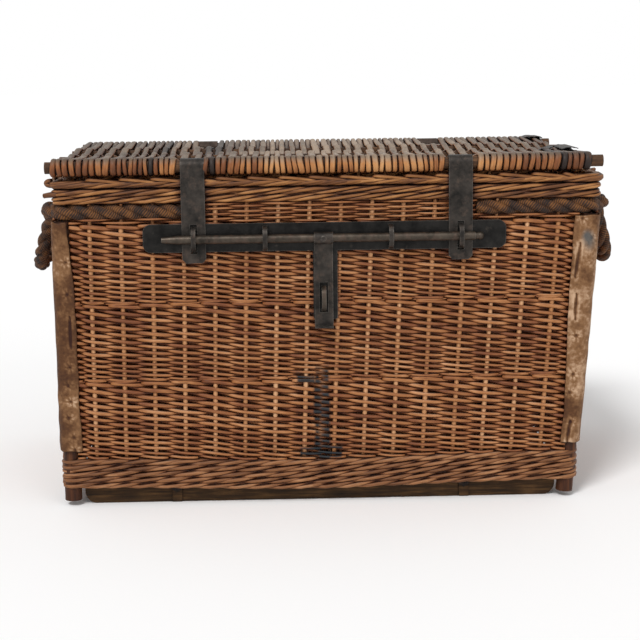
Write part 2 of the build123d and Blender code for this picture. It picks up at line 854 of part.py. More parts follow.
# Lid weave, ridged over its sticks and open where the straps go round the outer ones
patches = {
    "lid_patch_corner": (
        lid_right - corner_patch_inset,
        rear_stick_y - corner_patch_setback,
        corner_patch_width,
        corner_patch_length,
    ),
    "lid_patch_side": (
        lid_right - side_patch_inset,
        centre_y - side_patch_forward,
        side_patch_width,
        side_patch_length,
    ),
}
patch_z = stick_z + lid_slab / 2
with BuildPart() as lid_weave:
    with BuildSketch(Plane.YZ.offset(lid_left)):
        with Locations((centre_y, stick_z)):
            Rectangle(rear_stick_y - front_stick_y, lid_slab)
        with Locations(*[(y, stick_z) for y in (front_stick_y, *inner_stick_rows, rear_stick_y)]):
            Circle(lid_roll_radius)
    extrude(amount=lid_right - lid_left)
    add(rods([front_stick_pair, rear_stick_pair], lid_stick_radius + fit), mode=Mode.SUBTRACT)
    add(rods(inner_stick_pairs, inner_stick_radius + fit), mode=Mode.SUBTRACT)
    with Locations((hasp_left_x, front_stick_y, stick_z), (hasp_right_x, front_stick_y, stick_z)):
        Box(
            hasp_width + 2 * notch_side_gap,
            2 * notch_depth,
            4 * lid_roll_radius,
            mode=Mode.SUBTRACT,
        )
    with Locations((-hinge_x, rear_stick_y, stick_z), (hinge_x, rear_stick_y, stick_z)):
        Box(
            hasp_width + 2 * notch_side_gap,
            2 * notch_depth,
            4 * lid_roll_radius,
            mode=Mode.SUBTRACT,
        )
    for x, y, width, length in patches.values():
        with Locations((x, y, patch_z)):
            Box(
                width + 2 * fit,
                length + 2 * fit,
                lid_roll_radius,
                align=(Align.CENTER, Align.CENTER, Align.MIN),
                mode=Mode.SUBTRACT,
            )
save(lid_weave.part, "lid_weave")

# Rawhide patches laced over worn weave at the lid's right edge
for name, (x, y, width, length) in patches.items():
    with BuildPart() as lid_patch:
        with BuildSketch(Plane.XY.offset(patch_z)):
            with Locations((x, y)):
                RectangleRounded(width, length, 2 * hide_thickness)
        extrude(amount=patch_thickness)
    save(lid_patch.part, name)
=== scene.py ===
import json
import math

import bpy
import numpy as np
from mathutils import Matrix, Vector


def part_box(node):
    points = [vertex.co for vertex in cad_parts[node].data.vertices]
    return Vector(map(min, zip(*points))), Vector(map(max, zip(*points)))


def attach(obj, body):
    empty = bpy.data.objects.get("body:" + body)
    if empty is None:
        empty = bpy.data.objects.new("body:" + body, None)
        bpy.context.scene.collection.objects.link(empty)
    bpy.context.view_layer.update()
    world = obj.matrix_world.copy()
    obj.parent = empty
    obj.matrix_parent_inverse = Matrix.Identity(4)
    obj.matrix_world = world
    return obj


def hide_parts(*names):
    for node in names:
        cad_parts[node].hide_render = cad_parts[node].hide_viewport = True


# A wicker trunk with iron lock fittings, rawhide corners and rope handles. Metres, in the frame
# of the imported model: X to the right, Y from the front to the rear, Z up from the floor.
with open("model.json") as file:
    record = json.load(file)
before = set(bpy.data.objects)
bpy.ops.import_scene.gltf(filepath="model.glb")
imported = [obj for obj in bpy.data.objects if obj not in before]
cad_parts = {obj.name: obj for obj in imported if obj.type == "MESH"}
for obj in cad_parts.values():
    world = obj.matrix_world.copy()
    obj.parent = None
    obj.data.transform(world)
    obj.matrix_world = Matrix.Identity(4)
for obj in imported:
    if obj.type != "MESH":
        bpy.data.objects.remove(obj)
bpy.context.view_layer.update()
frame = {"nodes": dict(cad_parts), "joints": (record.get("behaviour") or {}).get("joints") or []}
nodes = frame["nodes"]
scene = bpy.context.scene
scene.view_settings.view_transform = "Standard"
MM = 0.001
UP = np.array([0.0, 0.0, 1.0])
TO_RIGHT = np.array([1.0, 0.0, 0.0])
rng = np.random.default_rng(14)

# Camera: where it stands, where it looks and its focal length in pixels of the photograph
IMAGE_PX = 640
FOCAL_PX = 1494.3
CAMERA_AT = (-0.0767, -2.6386, 0.7303)
CAMERA_YAW = math.radians(1.531)
CAMERA_PITCH = math.radians(9.992)
CAMERA_ROLL = math.radians(-0.700)

camera_data = bpy.data.cameras.new("camera")
camera_data.lens = camera_data.sensor_width * FOCAL_PX / IMAGE_PX
camera = bpy.data.objects.new("camera", camera_data)
scene.collection.objects.link(camera)
scene.camera = camera
forward = Vector(
    (
        math.sin(CAMERA_YAW) * math.cos(CAMERA_PITCH),
        math.cos(CAMERA_YAW) * math.cos(CAMERA_PITCH),
        -math.sin(CAMERA_PITCH),
    )
)
level = forward.cross(Vector((0, 0, 1))).normalized()
right = level * math.cos(CAMERA_ROLL) + level.cross(forward) * math.sin(CAMERA_ROLL)
turn = Matrix((right, right.cross(forward), -forward)).transposed()
camera.matrix_world = Matrix.Translation(CAMERA_AT) @ turn.to_4x4()


# Materials: colours are sRGB hex values, and the size of a pattern is given in millimetres
def srgb(code):
    """The linear colour of an sRGB hex value."""
    parts = [int(code[i : i + 2], 16) / 255 for i in (0, 2, 4)]
    return (*[c / 12.92 if c <= 0.04045 else ((c + 0.055) / 1.055) ** 2.4 for c in parts], 1)


def per_metre(size_mm):
    """The scale of a texture whose features are about so many millimetres across."""
    return 1000 / size_mm


def node(tree, kind, inputs=None, **settings):
    """Adds a node to a tree, sets its properties and values, and links the sockets given. A
    ramp is given as places from 0 to 1 with their colours."""
    made = tree.nodes.new("ShaderNode" + kind)
    for name, value in settings.items():
        if name == "ramp":
            made.color_ramp.elements[0].position = value[0][0]
            made.color_ramp.elements[-1].position = value[-1][0]
            for position, _ in value[1:-1]:
                made.color_ramp.elements.new(position)
            for stop, (_, colour) in zip(made.color_ramp.elements, value):
                stop.color = srgb(colour)
        else:
            setattr(made, name, value)
    for name, value in (inputs or {}).items():
        socket = made.inputs[name]
        if isinstance(value, bpy.types.NodeSocket):
            tree.links.new(value, socket)
        else:
            socket.default_value = value
    return made


def new_material(name):
    """An empty material and its node tree."""
    material = bpy.data.materials.new(name)
    material.use_nodes = True
    material.node_tree.nodes.clear()
    return material, material.node_tree


def painted_hollow_shade(tree, colour, distance, ramp):
    """A colour with painted shade, darker where other surfaces lie closer than a distance."""
    hollow = node(tree, "AmbientOcclusion", {"Distance": distance}, samples=6).outputs["AO"]
    shade = node(tree, "ValToRGB", {"Fac": hollow}, ramp=ramp).outputs["Color"]
    hollow_shaded = {"Factor": 1.0, 6: colour, 7: shade}
    return node(tree, "Mix", hollow_shaded, data_type="RGBA", blend_type="MULTIPLY").outputs[2]


# The strokes of the figure 1 painted on the front wall, each a box between two corners, the
# share of paint in them, and how far their edges wander and fade
PAINTED = [
    ((-0.0235, -0.262, 0.074), (0.0015, -0.236, 0.232)),
    ((-0.0530, -0.262, 0.201), (-0.0200, -0.236, 0.222)),
    ((-0.0495, -0.262, 0.077), (0.0205, -0.236, 0.094)),
]
PAINT_SHARE = 0.97
PAINT_WANDER = 12 * MM
PAINT_FADE = (8 * MM, 4 * MM)


def inside_box(tree, place, unevenness, low, high):
    """How much paint there is: the most inside a box, none outside it, with uneven edges."""
    parts = node(tree, "SeparateXYZ", {"Vector": place})
    share = PAINT_SHARE
    for axis, a, b in zip("XYZ", low, high):
        middle, half = (a + b) / 2, (b - a) / 2
        away = node(tree, "Math", {0: parts.outputs[axis], 1: middle}, operation="SUBTRACT").outputs[0]
        away = node(tree, "Math", {0: away}, operation="ABSOLUTE").outputs[0]
        away = node(
            tree, "Math", {0: unevenness, 1: PAINT_WANDER, 2: away}, operation="MULTIPLY_ADD"
        ).outputs[0]
        edge = {"Value": away, "From Min": half + PAINT_FADE[0], "From Max": half + PAINT_FADE[1]}
        within = node(tree, "MapRange", edge).outputs["Result"]
        share = node(tree, "Math", {0: within, 1: share}, operation="MULTIPLY").outputs[0]
    return share


# Painted shade down in the weave of willow: the walls, and the deeper weave of the lid and border
SHALLOW_SHADE = ((0.12, "2a1003"), (0.5, "a67a56"), (0.85, "ffffff"))
DEEP_SHADE = ((0.2, "0c0502"), (0.6, "8f6b50"), (0.92, "ffffff"))


def willow(name, colours, upper_greys, upper_grey_range, spread=0.3, hollow_shade=SHALLOW_SHADE, paint=()):
    """Willow rod boiled in its bark: smooth and slightly glossy, with a faint long grain, a
    colour of its own for each rod, grey on its upward faces, partly from weather and partly a
    painted sheen of the light from above, and with painted shade down in the weave. The grain
    is drawn coarser than real, nine streaks round a rod and 18 mm long, so that it shows. Paint,
    where boxes are given for it, is worn and blue-black."""
    material, tree = new_material(name)
    tone = node(tree, "Attribute", attribute_name="tone").outputs["Fac"]
    wrap = node(tree, "UVMap", uv_map="wrap").outputs["UV"]
    place = node(tree, "TexCoord").outputs["Object"]
    streaks = node(
        tree, "Mapping", {"Vector": wrap, "Scale": (9, per_metre(18.2), 1)}
    ).outputs["Vector"]
    grain = node(
        tree,
        "TexNoise",
        {"Vector": streaks, "Scale": 1.0, "Detail": 4.0, "W": tone},
        noise_dimensions="4D",
    ).outputs["Fac"]
    blotch = node(
        tree, "TexNoise", {"Vector": place, "Scale": per_metre(58.8), "Detail": 3.0}
    ).outputs["Fac"]
    own = node(
        tree, "Math", {0: tone, 1: spread, 2: 0.5 - 0.5 * spread}, operation="MULTIPLY_ADD"
    ).outputs[0]
    grained = node(tree, "Math", {0: grain, 1: 0.5, 2: own}, operation="MULTIPLY_ADD").outputs[0]
    mixed = node(tree, "Math", {0: blotch, 1: 0.5, 2: grained}, operation="MULTIPLY_ADD").outputs[0]
    shade = node(tree, "Math", {0: mixed, 1: 0.5}, operation="MULTIPLY").outputs[0]
    stops = list(zip((0.31, 0.43, 0.53, 0.65), colours))
    colour = node(tree, "ValToRGB", {"Fac": shade}, ramp=stops).outputs["Color"]
    stops = list(zip((0.36, 0.5, 0.62), upper_greys))
    upper_grey_colour = node(tree, "ValToRGB", {"Fac": shade}, ramp=stops).outputs["Color"]
    # Grey where a face points up, with the noise: partly weathering and partly a painted sheen of the
    # light from above
    facing = node(tree, "NewGeometry").outputs["Normal"]
    upward = node(tree, "SeparateXYZ", {"Vector": facing}).outputs["Z"]
    worn = node(tree, "Math", {0: mixed, 1: 0.8, 2: upward}, operation="MULTIPLY_ADD").outputs[0]
    grey = node(
        tree, "MapRange", {"Value": worn, "From Min": upper_grey_range[0], "From Max": upper_grey_range[1]}
    ).outputs["Result"]
    colour = node(tree, "Mix", {"Factor": grey, 6: colour, 7: upper_grey_colour}, data_type="RGBA").outputs[2]
    for low, high in paint:
        painted = {"Factor": inside_box(tree, place, blotch, low, high), 6: colour, 7: srgb("04141c")}
        colour = node(tree, "Mix", painted, data_type="RGBA").outputs[2]
    # Painted shade down in the weave
    colour = painted_hollow_shade(tree, colour, 12 * MM, hollow_shade)
    relief = node(tree, "Bump", {"Height": grain, "Strength": 0.35, "Distance": 0.6 * MM}).outputs[0]
    finish = {"Base Color": colour, "Roughness": 0.56, "Specular IOR Level": 0.35, "Normal": relief}
    shader = node(tree, "BsdfPrincipled", finish).outputs[0]
    node(tree, "OutputMaterial", {"Surface": shader})
    return material


def timber(name, colours, streak_mm, roughness):
    """Plain wood, bark off or sawn: dull, with streaks of a given size along X, Y and Z, and
    with painted shade in corners and gaps where other surfaces lie close. Its grain is drawn
    some five times too coarse, so that it shows."""
    material, tree = new_material(name)
    place = node(tree, "TexCoord").outputs["Object"]
    streaks = node(
        tree, "Mapping", {"Vector": place, "Scale": [per_metre(size) for size in streak_mm]}
    ).outputs["Vector"]
    streak = node(
        tree, "TexNoise", {"Vector": streaks, "Scale": 1.0, "Detail": 6.0, "Roughness": 0.65}
    ).outputs["Fac"]
    blotch = node(
        tree, "TexNoise", {"Vector": place, "Scale": per_metre(45.5), "Detail": 3.0}
    ).outputs["Fac"]
    mixed = node(tree, "Math", {0: blotch, 1: 0.4, 2: streak}, operation="MULTIPLY_ADD").outputs[0]
    stops = list(zip((0.45, 0.7, 0.95), colours))
    colour = node(tree, "ValToRGB", {"Fac": mixed}, ramp=stops).outputs["Color"]
    # Painted shade: darker where other surfaces lie within 10 mm
    colour = painted_hollow_shade(tree, colour, 10 * MM, [(0.2, "080402"), (0.75, "ffffff")])
    relief = node(tree, "Bump", {"Height": streak, "Strength": 0.6, "Distance": 0.5 * MM}).outputs[0]
    finish = {"Base Color": colour, "Roughness": roughness, "Specular IOR Level": 0.25, "Normal": relief}
    shader = node(tree, "BsdfPrincipled", finish).outputs[0]
    node(tree, "OutputMaterial", {"Surface": shader})
    return material


def iron(name, dark, light, rust, rust_share, roughness):
    """Hammered strap iron: a near black skin with shallow dents and pits, rubbed lighter on its
    edges, and brown, dull and not metallic where it rusts."""
    material, tree = new_material(name)
    place = node(tree, "TexCoord").outputs["Object"]
    dents = node(
        tree, "TexNoise", {"Vector": place, "Scale": per_metre(23.8), "Detail": 6.0, "Roughness": 0.65}
    ).outputs["Fac"]
    pits = node(
        tree, "TexNoise", {"Vector": place, "Scale": per_metre(2.38), "Detail": 4.0}
    ).outputs["Fac"]
    skin = node(tree, "ValToRGB", {"Fac": dents}, ramp=[(0.35, dark), (0.72, light)]).outputs["Color"]
    bloom = node(
        tree, "TexNoise", {"Vector": place, "Scale": per_metre(15.4), "Detail": 8.0, "Roughness": 0.7}
    ).outputs["Fac"]
    rusty = node(
        tree,
        "MapRange",
        {"Value": bloom, "From Min": 0.62 - rust_share, "From Max": 0.74 - rust_share / 2, "To Max": 0.85},
    ).outputs["Result"]
    rusted = {"Factor": rusty, 6: skin, 7: srgb(rust)}
    colour = node(tree, "Mix", rusted, data_type="RGBA").outputs[2]
    rounded = node(tree, "Bevel", {"Radius": 1.2 * MM}, samples=4).outputs[0]
    plain = node(tree, "NewGeometry").outputs["Normal"]
    flat = node(tree, "VectorMath", {0: rounded, 1: plain}, operation="DOT_PRODUCT").outputs["Value"]
    edge = node(
        tree, "MapRange", {"Value": flat, "From Min": 0.99, "From Max": 0.86, "To Max": 0.5}
    ).outputs["Result"]
    rubbed = node(tree, "Math", {0: edge, 1: dents}, operation="MULTIPLY").outputs[0]
    rubbed = {"Factor": rubbed, 6: colour, 7: srgb("b4aca2")}
    colour = node(tree, "Mix", rubbed, data_type="RGBA").outputs[2]
    gloss = node(
        tree, "MapRange", {"Value": dents, "To Min": roughness + 0.14, "To Max": roughness - 0.1}
    ).outputs["Result"]
    metal = node(tree, "MapRange", {"Value": rusty, "To Min": 0.8, "To Max": 0.1}).outputs["Result"]
    fine = node(tree, "Bump", {"Height": pits, "Strength": 0.35, "Distance": 0.5 * MM}).outputs[0]
    relief = node(
        tree, "Bump", {"Height": dents, "Strength": 0.5, "Distance": 1.5 * MM, "Normal": fine}
    ).outputs[0]
    finish = {"Base Color": colour, "Roughness": gloss, "Metallic": metal, "Normal": relief}
    shader = node(tree, "BsdfPrincipled", finish).outputs[0]
    node(tree, "OutputMaterial", {"Surface": shader})
    return material


def rawhide_material():
    """Dried rawhide: horn colour gone brown and grey, mottled, wrinkled and dull, with painted
    shade in its holes and slits, pale where nails pucker it and grey where it is stained."""
    material, tree = new_material("rawhide_dried")
    place = node(tree, "TexCoord").outputs["Object"]
    tone = node(tree, "Attribute", attribute_name="tone").outputs["Fac"]
    wrinkle = node(
        tree, "TexNoise", {"Vector": place, "Scale": per_metre(38.5), "Detail": 7.0, "Roughness": 0.68}
    ).outputs["Fac"]
    speck = node(
        tree, "TexNoise", {"Vector": place, "Scale": per_metre(5.26), "Detail": 5.0}
    ).outputs["Fac"]
    patch = node(
        tree, "TexNoise", {"Vector": place, "Scale": per_metre(91), "Detail": 4.0}
    ).outputs["Fac"]
    across = node(tree, "SeparateXYZ", {"Vector": place}).outputs["X"]
    mixed = wrinkle
    for part, share in ((speck, 0.5), (patch, 1.1), (tone, 0.6), (across, 0.3)):
        mixed = node(tree, "Math", {0: part, 1: share, 2: mixed}, operation="MULTIPLY_ADD").outputs[0]
    shade = node(tree, "Math", {0: mixed, 1: 0.35}, operation="MULTIPLY").outputs[0]
    stops = [(0.405, "2e1206"), (0.52, "55351b"), (0.61, "7e5a3a"), (0.7, "bb9a7c")]
    colour = node(tree, "ValToRGB", {"Fac": shade}, ramp=stops).outputs["Color"]
    stain = node(tree, "UVMap", uv_map="wrap").outputs["UV"]
    stain = node(tree, "SeparateXYZ", {"Vector": stain}).outputs["X"]
    stain = node(tree, "Math", {0: stain, 1: wrinkle}, operation="MULTIPLY").outputs[0]
    stain = node(
        tree, "MapRange", {"Value": stain, "From Min": 0.14, "From Max": 0.62, "To Max": 0.9}
    ).outputs["Result"]
    stained = {"Factor": stain, 6: colour, 7: srgb("474b4c")}
    colour = node(tree, "Mix", stained, data_type="RGBA").outputs[2]
    wrinkles = node(
        tree, "Bump", {"Height": wrinkle, "Strength": 0.8, "Distance": 1.6 * MM}
    ).outputs[0]
    relief = node(
        tree, "Bump", {"Height": speck, "Strength": 0.5, "Distance": 0.5 * MM, "Normal": wrinkles}
    ).outputs[0]
    finish = {"Base Color": colour, "Roughness": 0.66, "Specular IOR Level": 0.25, "Normal": relief}
    shader = node(tree, "BsdfPrincipled", finish).outputs[0]
    node(tree, "OutputMaterial", {"Surface": shader})
    return material


def rope_material():
    """Hemp rope, brown with age and quite dull: yarns laid slantwise round each strand, three
    yarns wide and one turn every 10.5 mm, which is coarser than real so that it shows, and
    painted shade in the grooves between the yarns."""
    material, tree = new_material("hemp_rope_aged")
    wrap = node(tree, "UVMap", uv_map="wrap").outputs["UV"]
    place = node(tree, "TexCoord").outputs["Object"]
    parts = node(tree, "SeparateXYZ", {"Vector": wrap}).outputs
    slant = node(
        tree, "Math", {0: parts["Y"], 1: per_metre(10.53), 2: parts["X"]}, operation="MULTIPLY_ADD"
    ).outputs[0]
    yarn = node(tree, "Math", {0: slant, 1: 3 * 2 * math.pi}, operation="MULTIPLY").outputs[0]
    yarn = node(tree, "Math", {0: yarn}, operation="SINE").outputs[0]
    blotch = node(
        tree, "TexNoise", {"Vector": place, "Scale": per_metre(16.7), "Detail": 5.0}
    ).outputs["Fac"]
    # Painted shade: darker where the yarn bump is low, in the grooves
    mixed = node(tree, "Math", {0: yarn, 1: 0.11, 2: blotch}, operation="MULTIPLY_ADD").outputs[0]
    stops = [(0.32, "120702"), (0.5, "3c200b"), (0.68, "74491f")]
    colour = node(tree, "ValToRGB", {"Fac": mixed}, ramp=stops).outputs["Color"]
    relief = node(tree, "Bump", {"Height": yarn, "Strength": 0.7, "Distance": 0.6 * MM}).outputs[0]
    finish = {"Base Color": colour, "Roughness": 0.85, "Normal": relief}
    shader = node(tree, "BsdfPrincipled", finish).outputs[0]
    node(tree, "OutputMaterial", {"Surface": shader})
    return material


# Willow gets its colours from dark to light, its greys for upward faces, partly weathering
# and partly a painted sheen, and how far facing up and noise must add up before it starts to
# turn grey and is wholly grey
WALL_COLOURS = ["3c1a08", "764221", "a0683a", "cf996c"]
WALL_GREYS = ["6b5548", "9a8474", "b8a594"]
MOSTLY_BROWN = (1.5, 2.1)
front_willow = willow(
    "willow_brown_buff_marked", WALL_COLOURS, WALL_GREYS, MOSTLY_BROWN, 0.2, paint=PAINTED
)
wall_willow = willow("willow_brown_buff", WALL_COLOURS, WALL_GREYS, MOSTLY_BROWN, 0.2)
lid_willow = willow(
    "willow_buff_lid",
    ["20120a", "7a4622", "ae7442", "cf9c66"],
    ["42352a", "6f5e4d", "9c8670"],
    (0.95, 1.6),
    0.24,
    DEEP_SHADE,
)
# The foot wale's willow, darker than the walls'
foot_willow = willow(
    "willow_brown_darker",
    ["2e1607", "603818", "8a5a34", "bb8a60"],
    ["574438", "7d6858", "a38d7a"],
    MOSTLY_BROWN,
    0.2,
)
border_willow = willow(
    "willow_buff_border",
    ["2a1406", "613817", "8f5c2c", "c28c54"],
    ["57463a", "84705c", "a8937c"],
    MOSTLY_BROWN,
    0.26,
    DEEP_SHADE,
)
stake_willow = willow(
    "willow_peeled",
    ["84522c", "a67246", "be8c60", "d4a880"],
    ["84705c", "a58b70", "bca690"],
    (1.6, 2.2),
    # Only light painted shade on the stakes
    hollow_shade=((0.1, "8a6448"), (0.45, "e0c8b4"), (0.7, "ffffff")),
)
# Other wood, with the size of its streaks in mm along X, Y and Z
hazel = timber("hazel_stick_weathered", ["1e130c", "4a3220", "745236"], (40, 4.17, 4.17), 0.7)
ash = timber("ash_pole_worn", ["180903", "40200c", "6e4223"], (6.25, 6.25, 71.4), 0.6)
elm = timber("elm_board_dark", ["180d05", "3c2813", "684a2a"], (71.4, 5.26, 5.26), 0.75)
cane = timber("split_cane_dark", ["0c0806", "1c130d", "302218"], (16.7, 16.7, 16.7), 0.6)
rawhide = rawhide_material()
hemp = rope_material()
# Iron: dark, light and rust colours, the share that rusts, and the roughness
plate_iron = iron("sheet_iron_blackened", "100f0e", "2b2927", "33291f", 0.02, 0.42)
forged_iron = iron("strap_iron_forged", "1d1b19", "453f3a", "3f2f23", 0.10, 0.46)
hinge_iron = iron("strap_iron_rusted", "1f1a17", "403730", "453022", 0.3, 0.6)
bar_iron = iron("round_iron_rubbed", "2c2721", "5a5046", "4a3527", 0.12, 0.4)


# Mesh builders
def finish_mesh(name, points, corners, starts, uv, tone, material, body, slot, replaced):
    """A piece from arrays: vertices, the corners of its faces in turn, where each face starts,
    a UV for each corner and a tone for each vertex."""
    mesh = bpy.data.meshes.new(name)
    mesh.vertices.add(len(points))
    mesh.vertices.foreach_set("co", points.astype(np.float32).ravel())
    mesh.loops.add(len(corners))
    mesh.loops.foreach_set("vertex_index", corners.astype(np.int32))
    mesh.polygons.add(len(starts))
    mesh.polygons.foreach_set("loop_start", starts.astype(np.int32))
    mesh.polygons.foreach_set("use_smooth", np.ones(len(starts), bool))
    mesh.update(calc_edges=True)
    layer = mesh.uv_layers.new(name="wrap")
    layer.data.foreach_set("uv", uv.astype(np.float32).ravel())
    mesh.attributes.new("tone", "FLOAT", "POINT").data.foreach_set("value", tone.astype(np.float32))
    mesh.materials.append(material)
    piece = bpy.data.objects.new(name, mesh)
    scene.collection.objects.link(piece)
    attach(piece, body)
    if replaced:
        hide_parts(*replaced)
    return piece


def run_along(path):
    """How far along a path each of its points is."""
    return np.concatenate([[0], np.cumsum(np.linalg.norm(np.diff(path, axis=0), axis=1))])


def rod_piece(name, rods, material, body, slot, replaced=(), sides=6):
    """Many closed rods as one piece. Each rod is its points, its radii (one, or one across and
    one through), a side vector to set the cross-section by, and its tone. In the UV, U goes
    round each rod and V is metres along it."""
    points, corners, starts, uv, tone = [], [], [], [], []
    first_point = first_corner = 0
    angle = 2 * math.pi * np.arange(sides) / sides
    ring = np.arange(sides)
    ring_next = (ring + 1) % sides
    for path, radii, side, rod_tone in rods:
        path = np.asarray(path, float)
        count = len(path)
        radii = np.broadcast_to(radii, (2, count))
        tangent = np.gradient(path, axis=0)
        tangent /= np.linalg.norm(tangent, axis=1)[:, None]
        across = side - np.sum(tangent * side, 1)[:, None] * tangent
        across /= np.linalg.norm(across, axis=1)[:, None]
        through = np.cross(tangent, across)
        skin = (
            path[:, None]
            + (radii[0][:, None] * np.cos(angle))[:, :, None] * across[:, None]
            + (radii[1][:, None] * np.sin(angle))[:, :, None] * through[:, None]
        )
        points.append(skin.reshape(-1, 3))
        tone.append(np.full(count * sides, rod_tone))
        run = run_along(path)
        low = np.arange(count - 1)[:, None] * sides + first_point
        high = low + sides
        quads = np.stack([low + ring, low + ring_next, high + ring_next, high + ring], 2)
        u = np.broadcast_to(ring / sides, (count - 1, sides))
        v0 = np.broadcast_to(run[:-1, None], (count - 1, sides))
        v1 = np.broadcast_to(run[1:, None], (count - 1, sides))
        quad_uv = np.stack([u, v0, u + 1 / sides, v0, u + 1 / sides, v1, u, v1], 2)
        far_end = ring + first_point + (count - 1) * sides
        corners += [quads.ravel(), ring[::-1] + first_point, far_end]
        cap_uv = np.stack([ring / sides, np.zeros(sides)], 1).ravel()
        uv += [quad_uv.ravel(), cap_uv, cap_uv]
        quad_count = (count - 1) * sides
        starts.append(first_corner + 4 * np.arange(quad_count))
        starts.append(first_corner + 4 * quad_count + np.array([0, sides]))
        first_point += count * sides
        first_corner += 4 * quad_count + 2 * sides
    arrays = [np.concatenate(part) for part in (points, corners, starts, uv, tone)]
    return finish_mesh(name, *arrays, material, body, slot, replaced)


def smooth_noise(values, step, seed):
    """Noise from -1 to 1 that changes smoothly over about one step of the values. It starts far
    inside its table, so that values below nothing have a place there too."""
    length, start = 4096, 500.37
    table = np.random.default_rng(seed).uniform(-1, 1, length)
    at = np.asarray(values) / step + start
    whole = np.floor(at).astype(int)
    share = at - whole
    share = share * share * (3 - 2 * share)
    return table[whole % length] * (1 - share) + table[(whole + 1) % length] * share


def fading(distance, width):
    """One at no distance, a third at about one width and next to nothing at two."""
    return np.exp(-((distance / width) ** 2))


def even_path(path, spacing):
    """Points along a path at an even spacing, three at least."""
    run = run_along(path)
    at = np.linspace(0, run[-1], max(3, round(run[-1] / spacing)))
    return np.column_stack([np.interp(at, run, path[:, i]) for i in range(path.shape[1])])


def smooth_path(path, spacing):
    """The path with its bends rounded, at an even spacing."""
    for _ in range(2):
        cut = np.empty((2 * len(path) - 2, path.shape[1]))
        cut[0::2] = 0.75 * path[:-1] + 0.25 * path[1:]
        cut[1::2] = 0.25 * path[:-1] + 0.75 * path[1:]
        path = np.concatenate([path[:1], cut, path[-1:]])
    return even_path(path, spacing)


def mesh_points(name):
    """The vertices of a CAD node."""
    return np.array([v.co for v in nodes[name].data.vertices])


# Two vertices of a CAD node further apart than this belong to different rods
ROD_GAP = 10 * MM


def rod_lines(name, axis):
    """The bottom and top of each upright rod of a CAD node, sorted along an axis (0 x, 1 y)."""
    points = mesh_points(name)
    lines = []
    for z in (points[:, 2].min(), points[:, 2].max()):
        at_end = points[abs(points[:, 2] - z) < 1.5 * MM]
        at_end = at_end[np.argsort(at_end[:, axis])]
        splits = np.flatnonzero(np.diff(at_end[:, axis]) > ROD_GAP) + 1
        lines.append(np.array([part.mean(0) for part in np.split(at_end, splits)]))
    return np.stack(lines, 1)


def rod_rows(name):
    """The y of each long rod of a CAD node."""
    ys = np.sort(mesh_points(name)[:, 1])
    splits = np.flatnonzero(np.diff(ys) > ROD_GAP) + 1
    return [float((part.min() + part.max()) / 2) for part in np.split(ys, splits)]


# Ropes: three strands laid round the spline of each route
tail_low, tail_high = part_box("rope_tail_front_left")
ROPE_Z = (tail_low.z + tail_high.z) / 2
ROPE_RADIUS = (tail_high.z - tail_low.z) / 2
side_low, side_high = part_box("left_wall")
CENTRE_Y = (side_low.y + side_high.y) / 2
# Each strand is a little over half as thick as the rope, and goes once round in one lay
STRAND_RADIUS = 0.53 * ROPE_RADIUS
LAY = 88 * MM
# How far the loops hang out from the wall, and their routes from the front tail to the rear
# one, in mm: from the middle of the depth, and down along the loop
LOOP_TILT = math.radians(20)
LOOP_LEFT = [
    (-180, 0), (-154, 0), (-129, 8), (-107, 23), (-90, 45), (-79, 75), (-60, 98), (-39, 112),
    (-14, 120), (13, 120), (40, 111), (60, 97), (77, 76), (88, 47), (104, 25), (126, 9),
    (153, 0), (180, 0),
]
LOOP_RIGHT = [
    (-180, 0), (-154, 0), (-129, 8), (-106, 24), (-90, 45), (-81, 70), (-65, 93), (-43, 110),
    (-18, 119), (8, 120), (35, 113), (58, 98), (77, 75), (90, 43), (106, 23), (128, 8),
    (154, 0), (180, 0),
]
# The tails' routes, in mm: how far inside a loop's ends they lie in the wall, where they go
# straight there, and how far from the middle of the depth they turn out to the loop
TAIL_INSIDE = 22.5
TAIL_STRAIGHT = (45, 3)
TAIL_TURN = (213, 193, 180)


def spline_points(name, route):
    """Points along the NURBS spline of a route."""
    curve = bpy.data.curves.new(name, "CURVE")
    curve.dimensions = "3D"
    curve.resolution_u = 12
    spline = curve.splines.new("NURBS")
    spline.points.add(len(route) - 1)
    for point, place in zip(spline.points, route):
        point.co = (*place, 1)
    spline.order_u = 3
    spline.use_endpoint_u = True
    holder = bpy.data.objects.new(name, curve)
    scene.collection.objects.link(holder)
    bpy.context.view_layer.update()
    line = bpy.data.meshes.new_from_object(holder)
    points = np.array([v.co for v in line.vertices])
    bpy.data.objects.remove(holder)
    bpy.data.meshes.remove(line)
    return points


def laid_rope(name, route, body, replaced):
    """A rope of three strands on the spline of a route. Returns the piece and the line."""
    line = spline_points(name + "_route", route)
    path = even_path(line, 3.5 * MM)
    at = np.linspace(0, run_along(line)[-1], len(path))
    tangent = np.gradient(path, axis=0)
    tangent /= np.linalg.norm(tangent, axis=1)[:, None]
    normal = np.cross(tangent[0], [0.3, 0.5, 0.8])
    normals = []
    for way in tangent:
        normal = normal - way * (normal @ way)
        normal /= np.linalg.norm(normal)
        normals.append(normal)
    normals = np.array(normals)
    other = np.cross(tangent, normals)
    reach = ROPE_RADIUS - STRAND_RADIUS
    strands = []
    for i in range(3):
        phase = 2 * math.pi * (at / LAY + i / 3)
        centre = path + reach * (np.cos(phase)[:, None] * normals + np.sin(phase)[:, None] * other)
        strands.append((centre, np.full(len(at), STRAND_RADIUS), normals, (i + 0.5) / 3))
    return rod_piece(name, strands, hemp, body, "hemp_rope", [replaced], sides=12), line


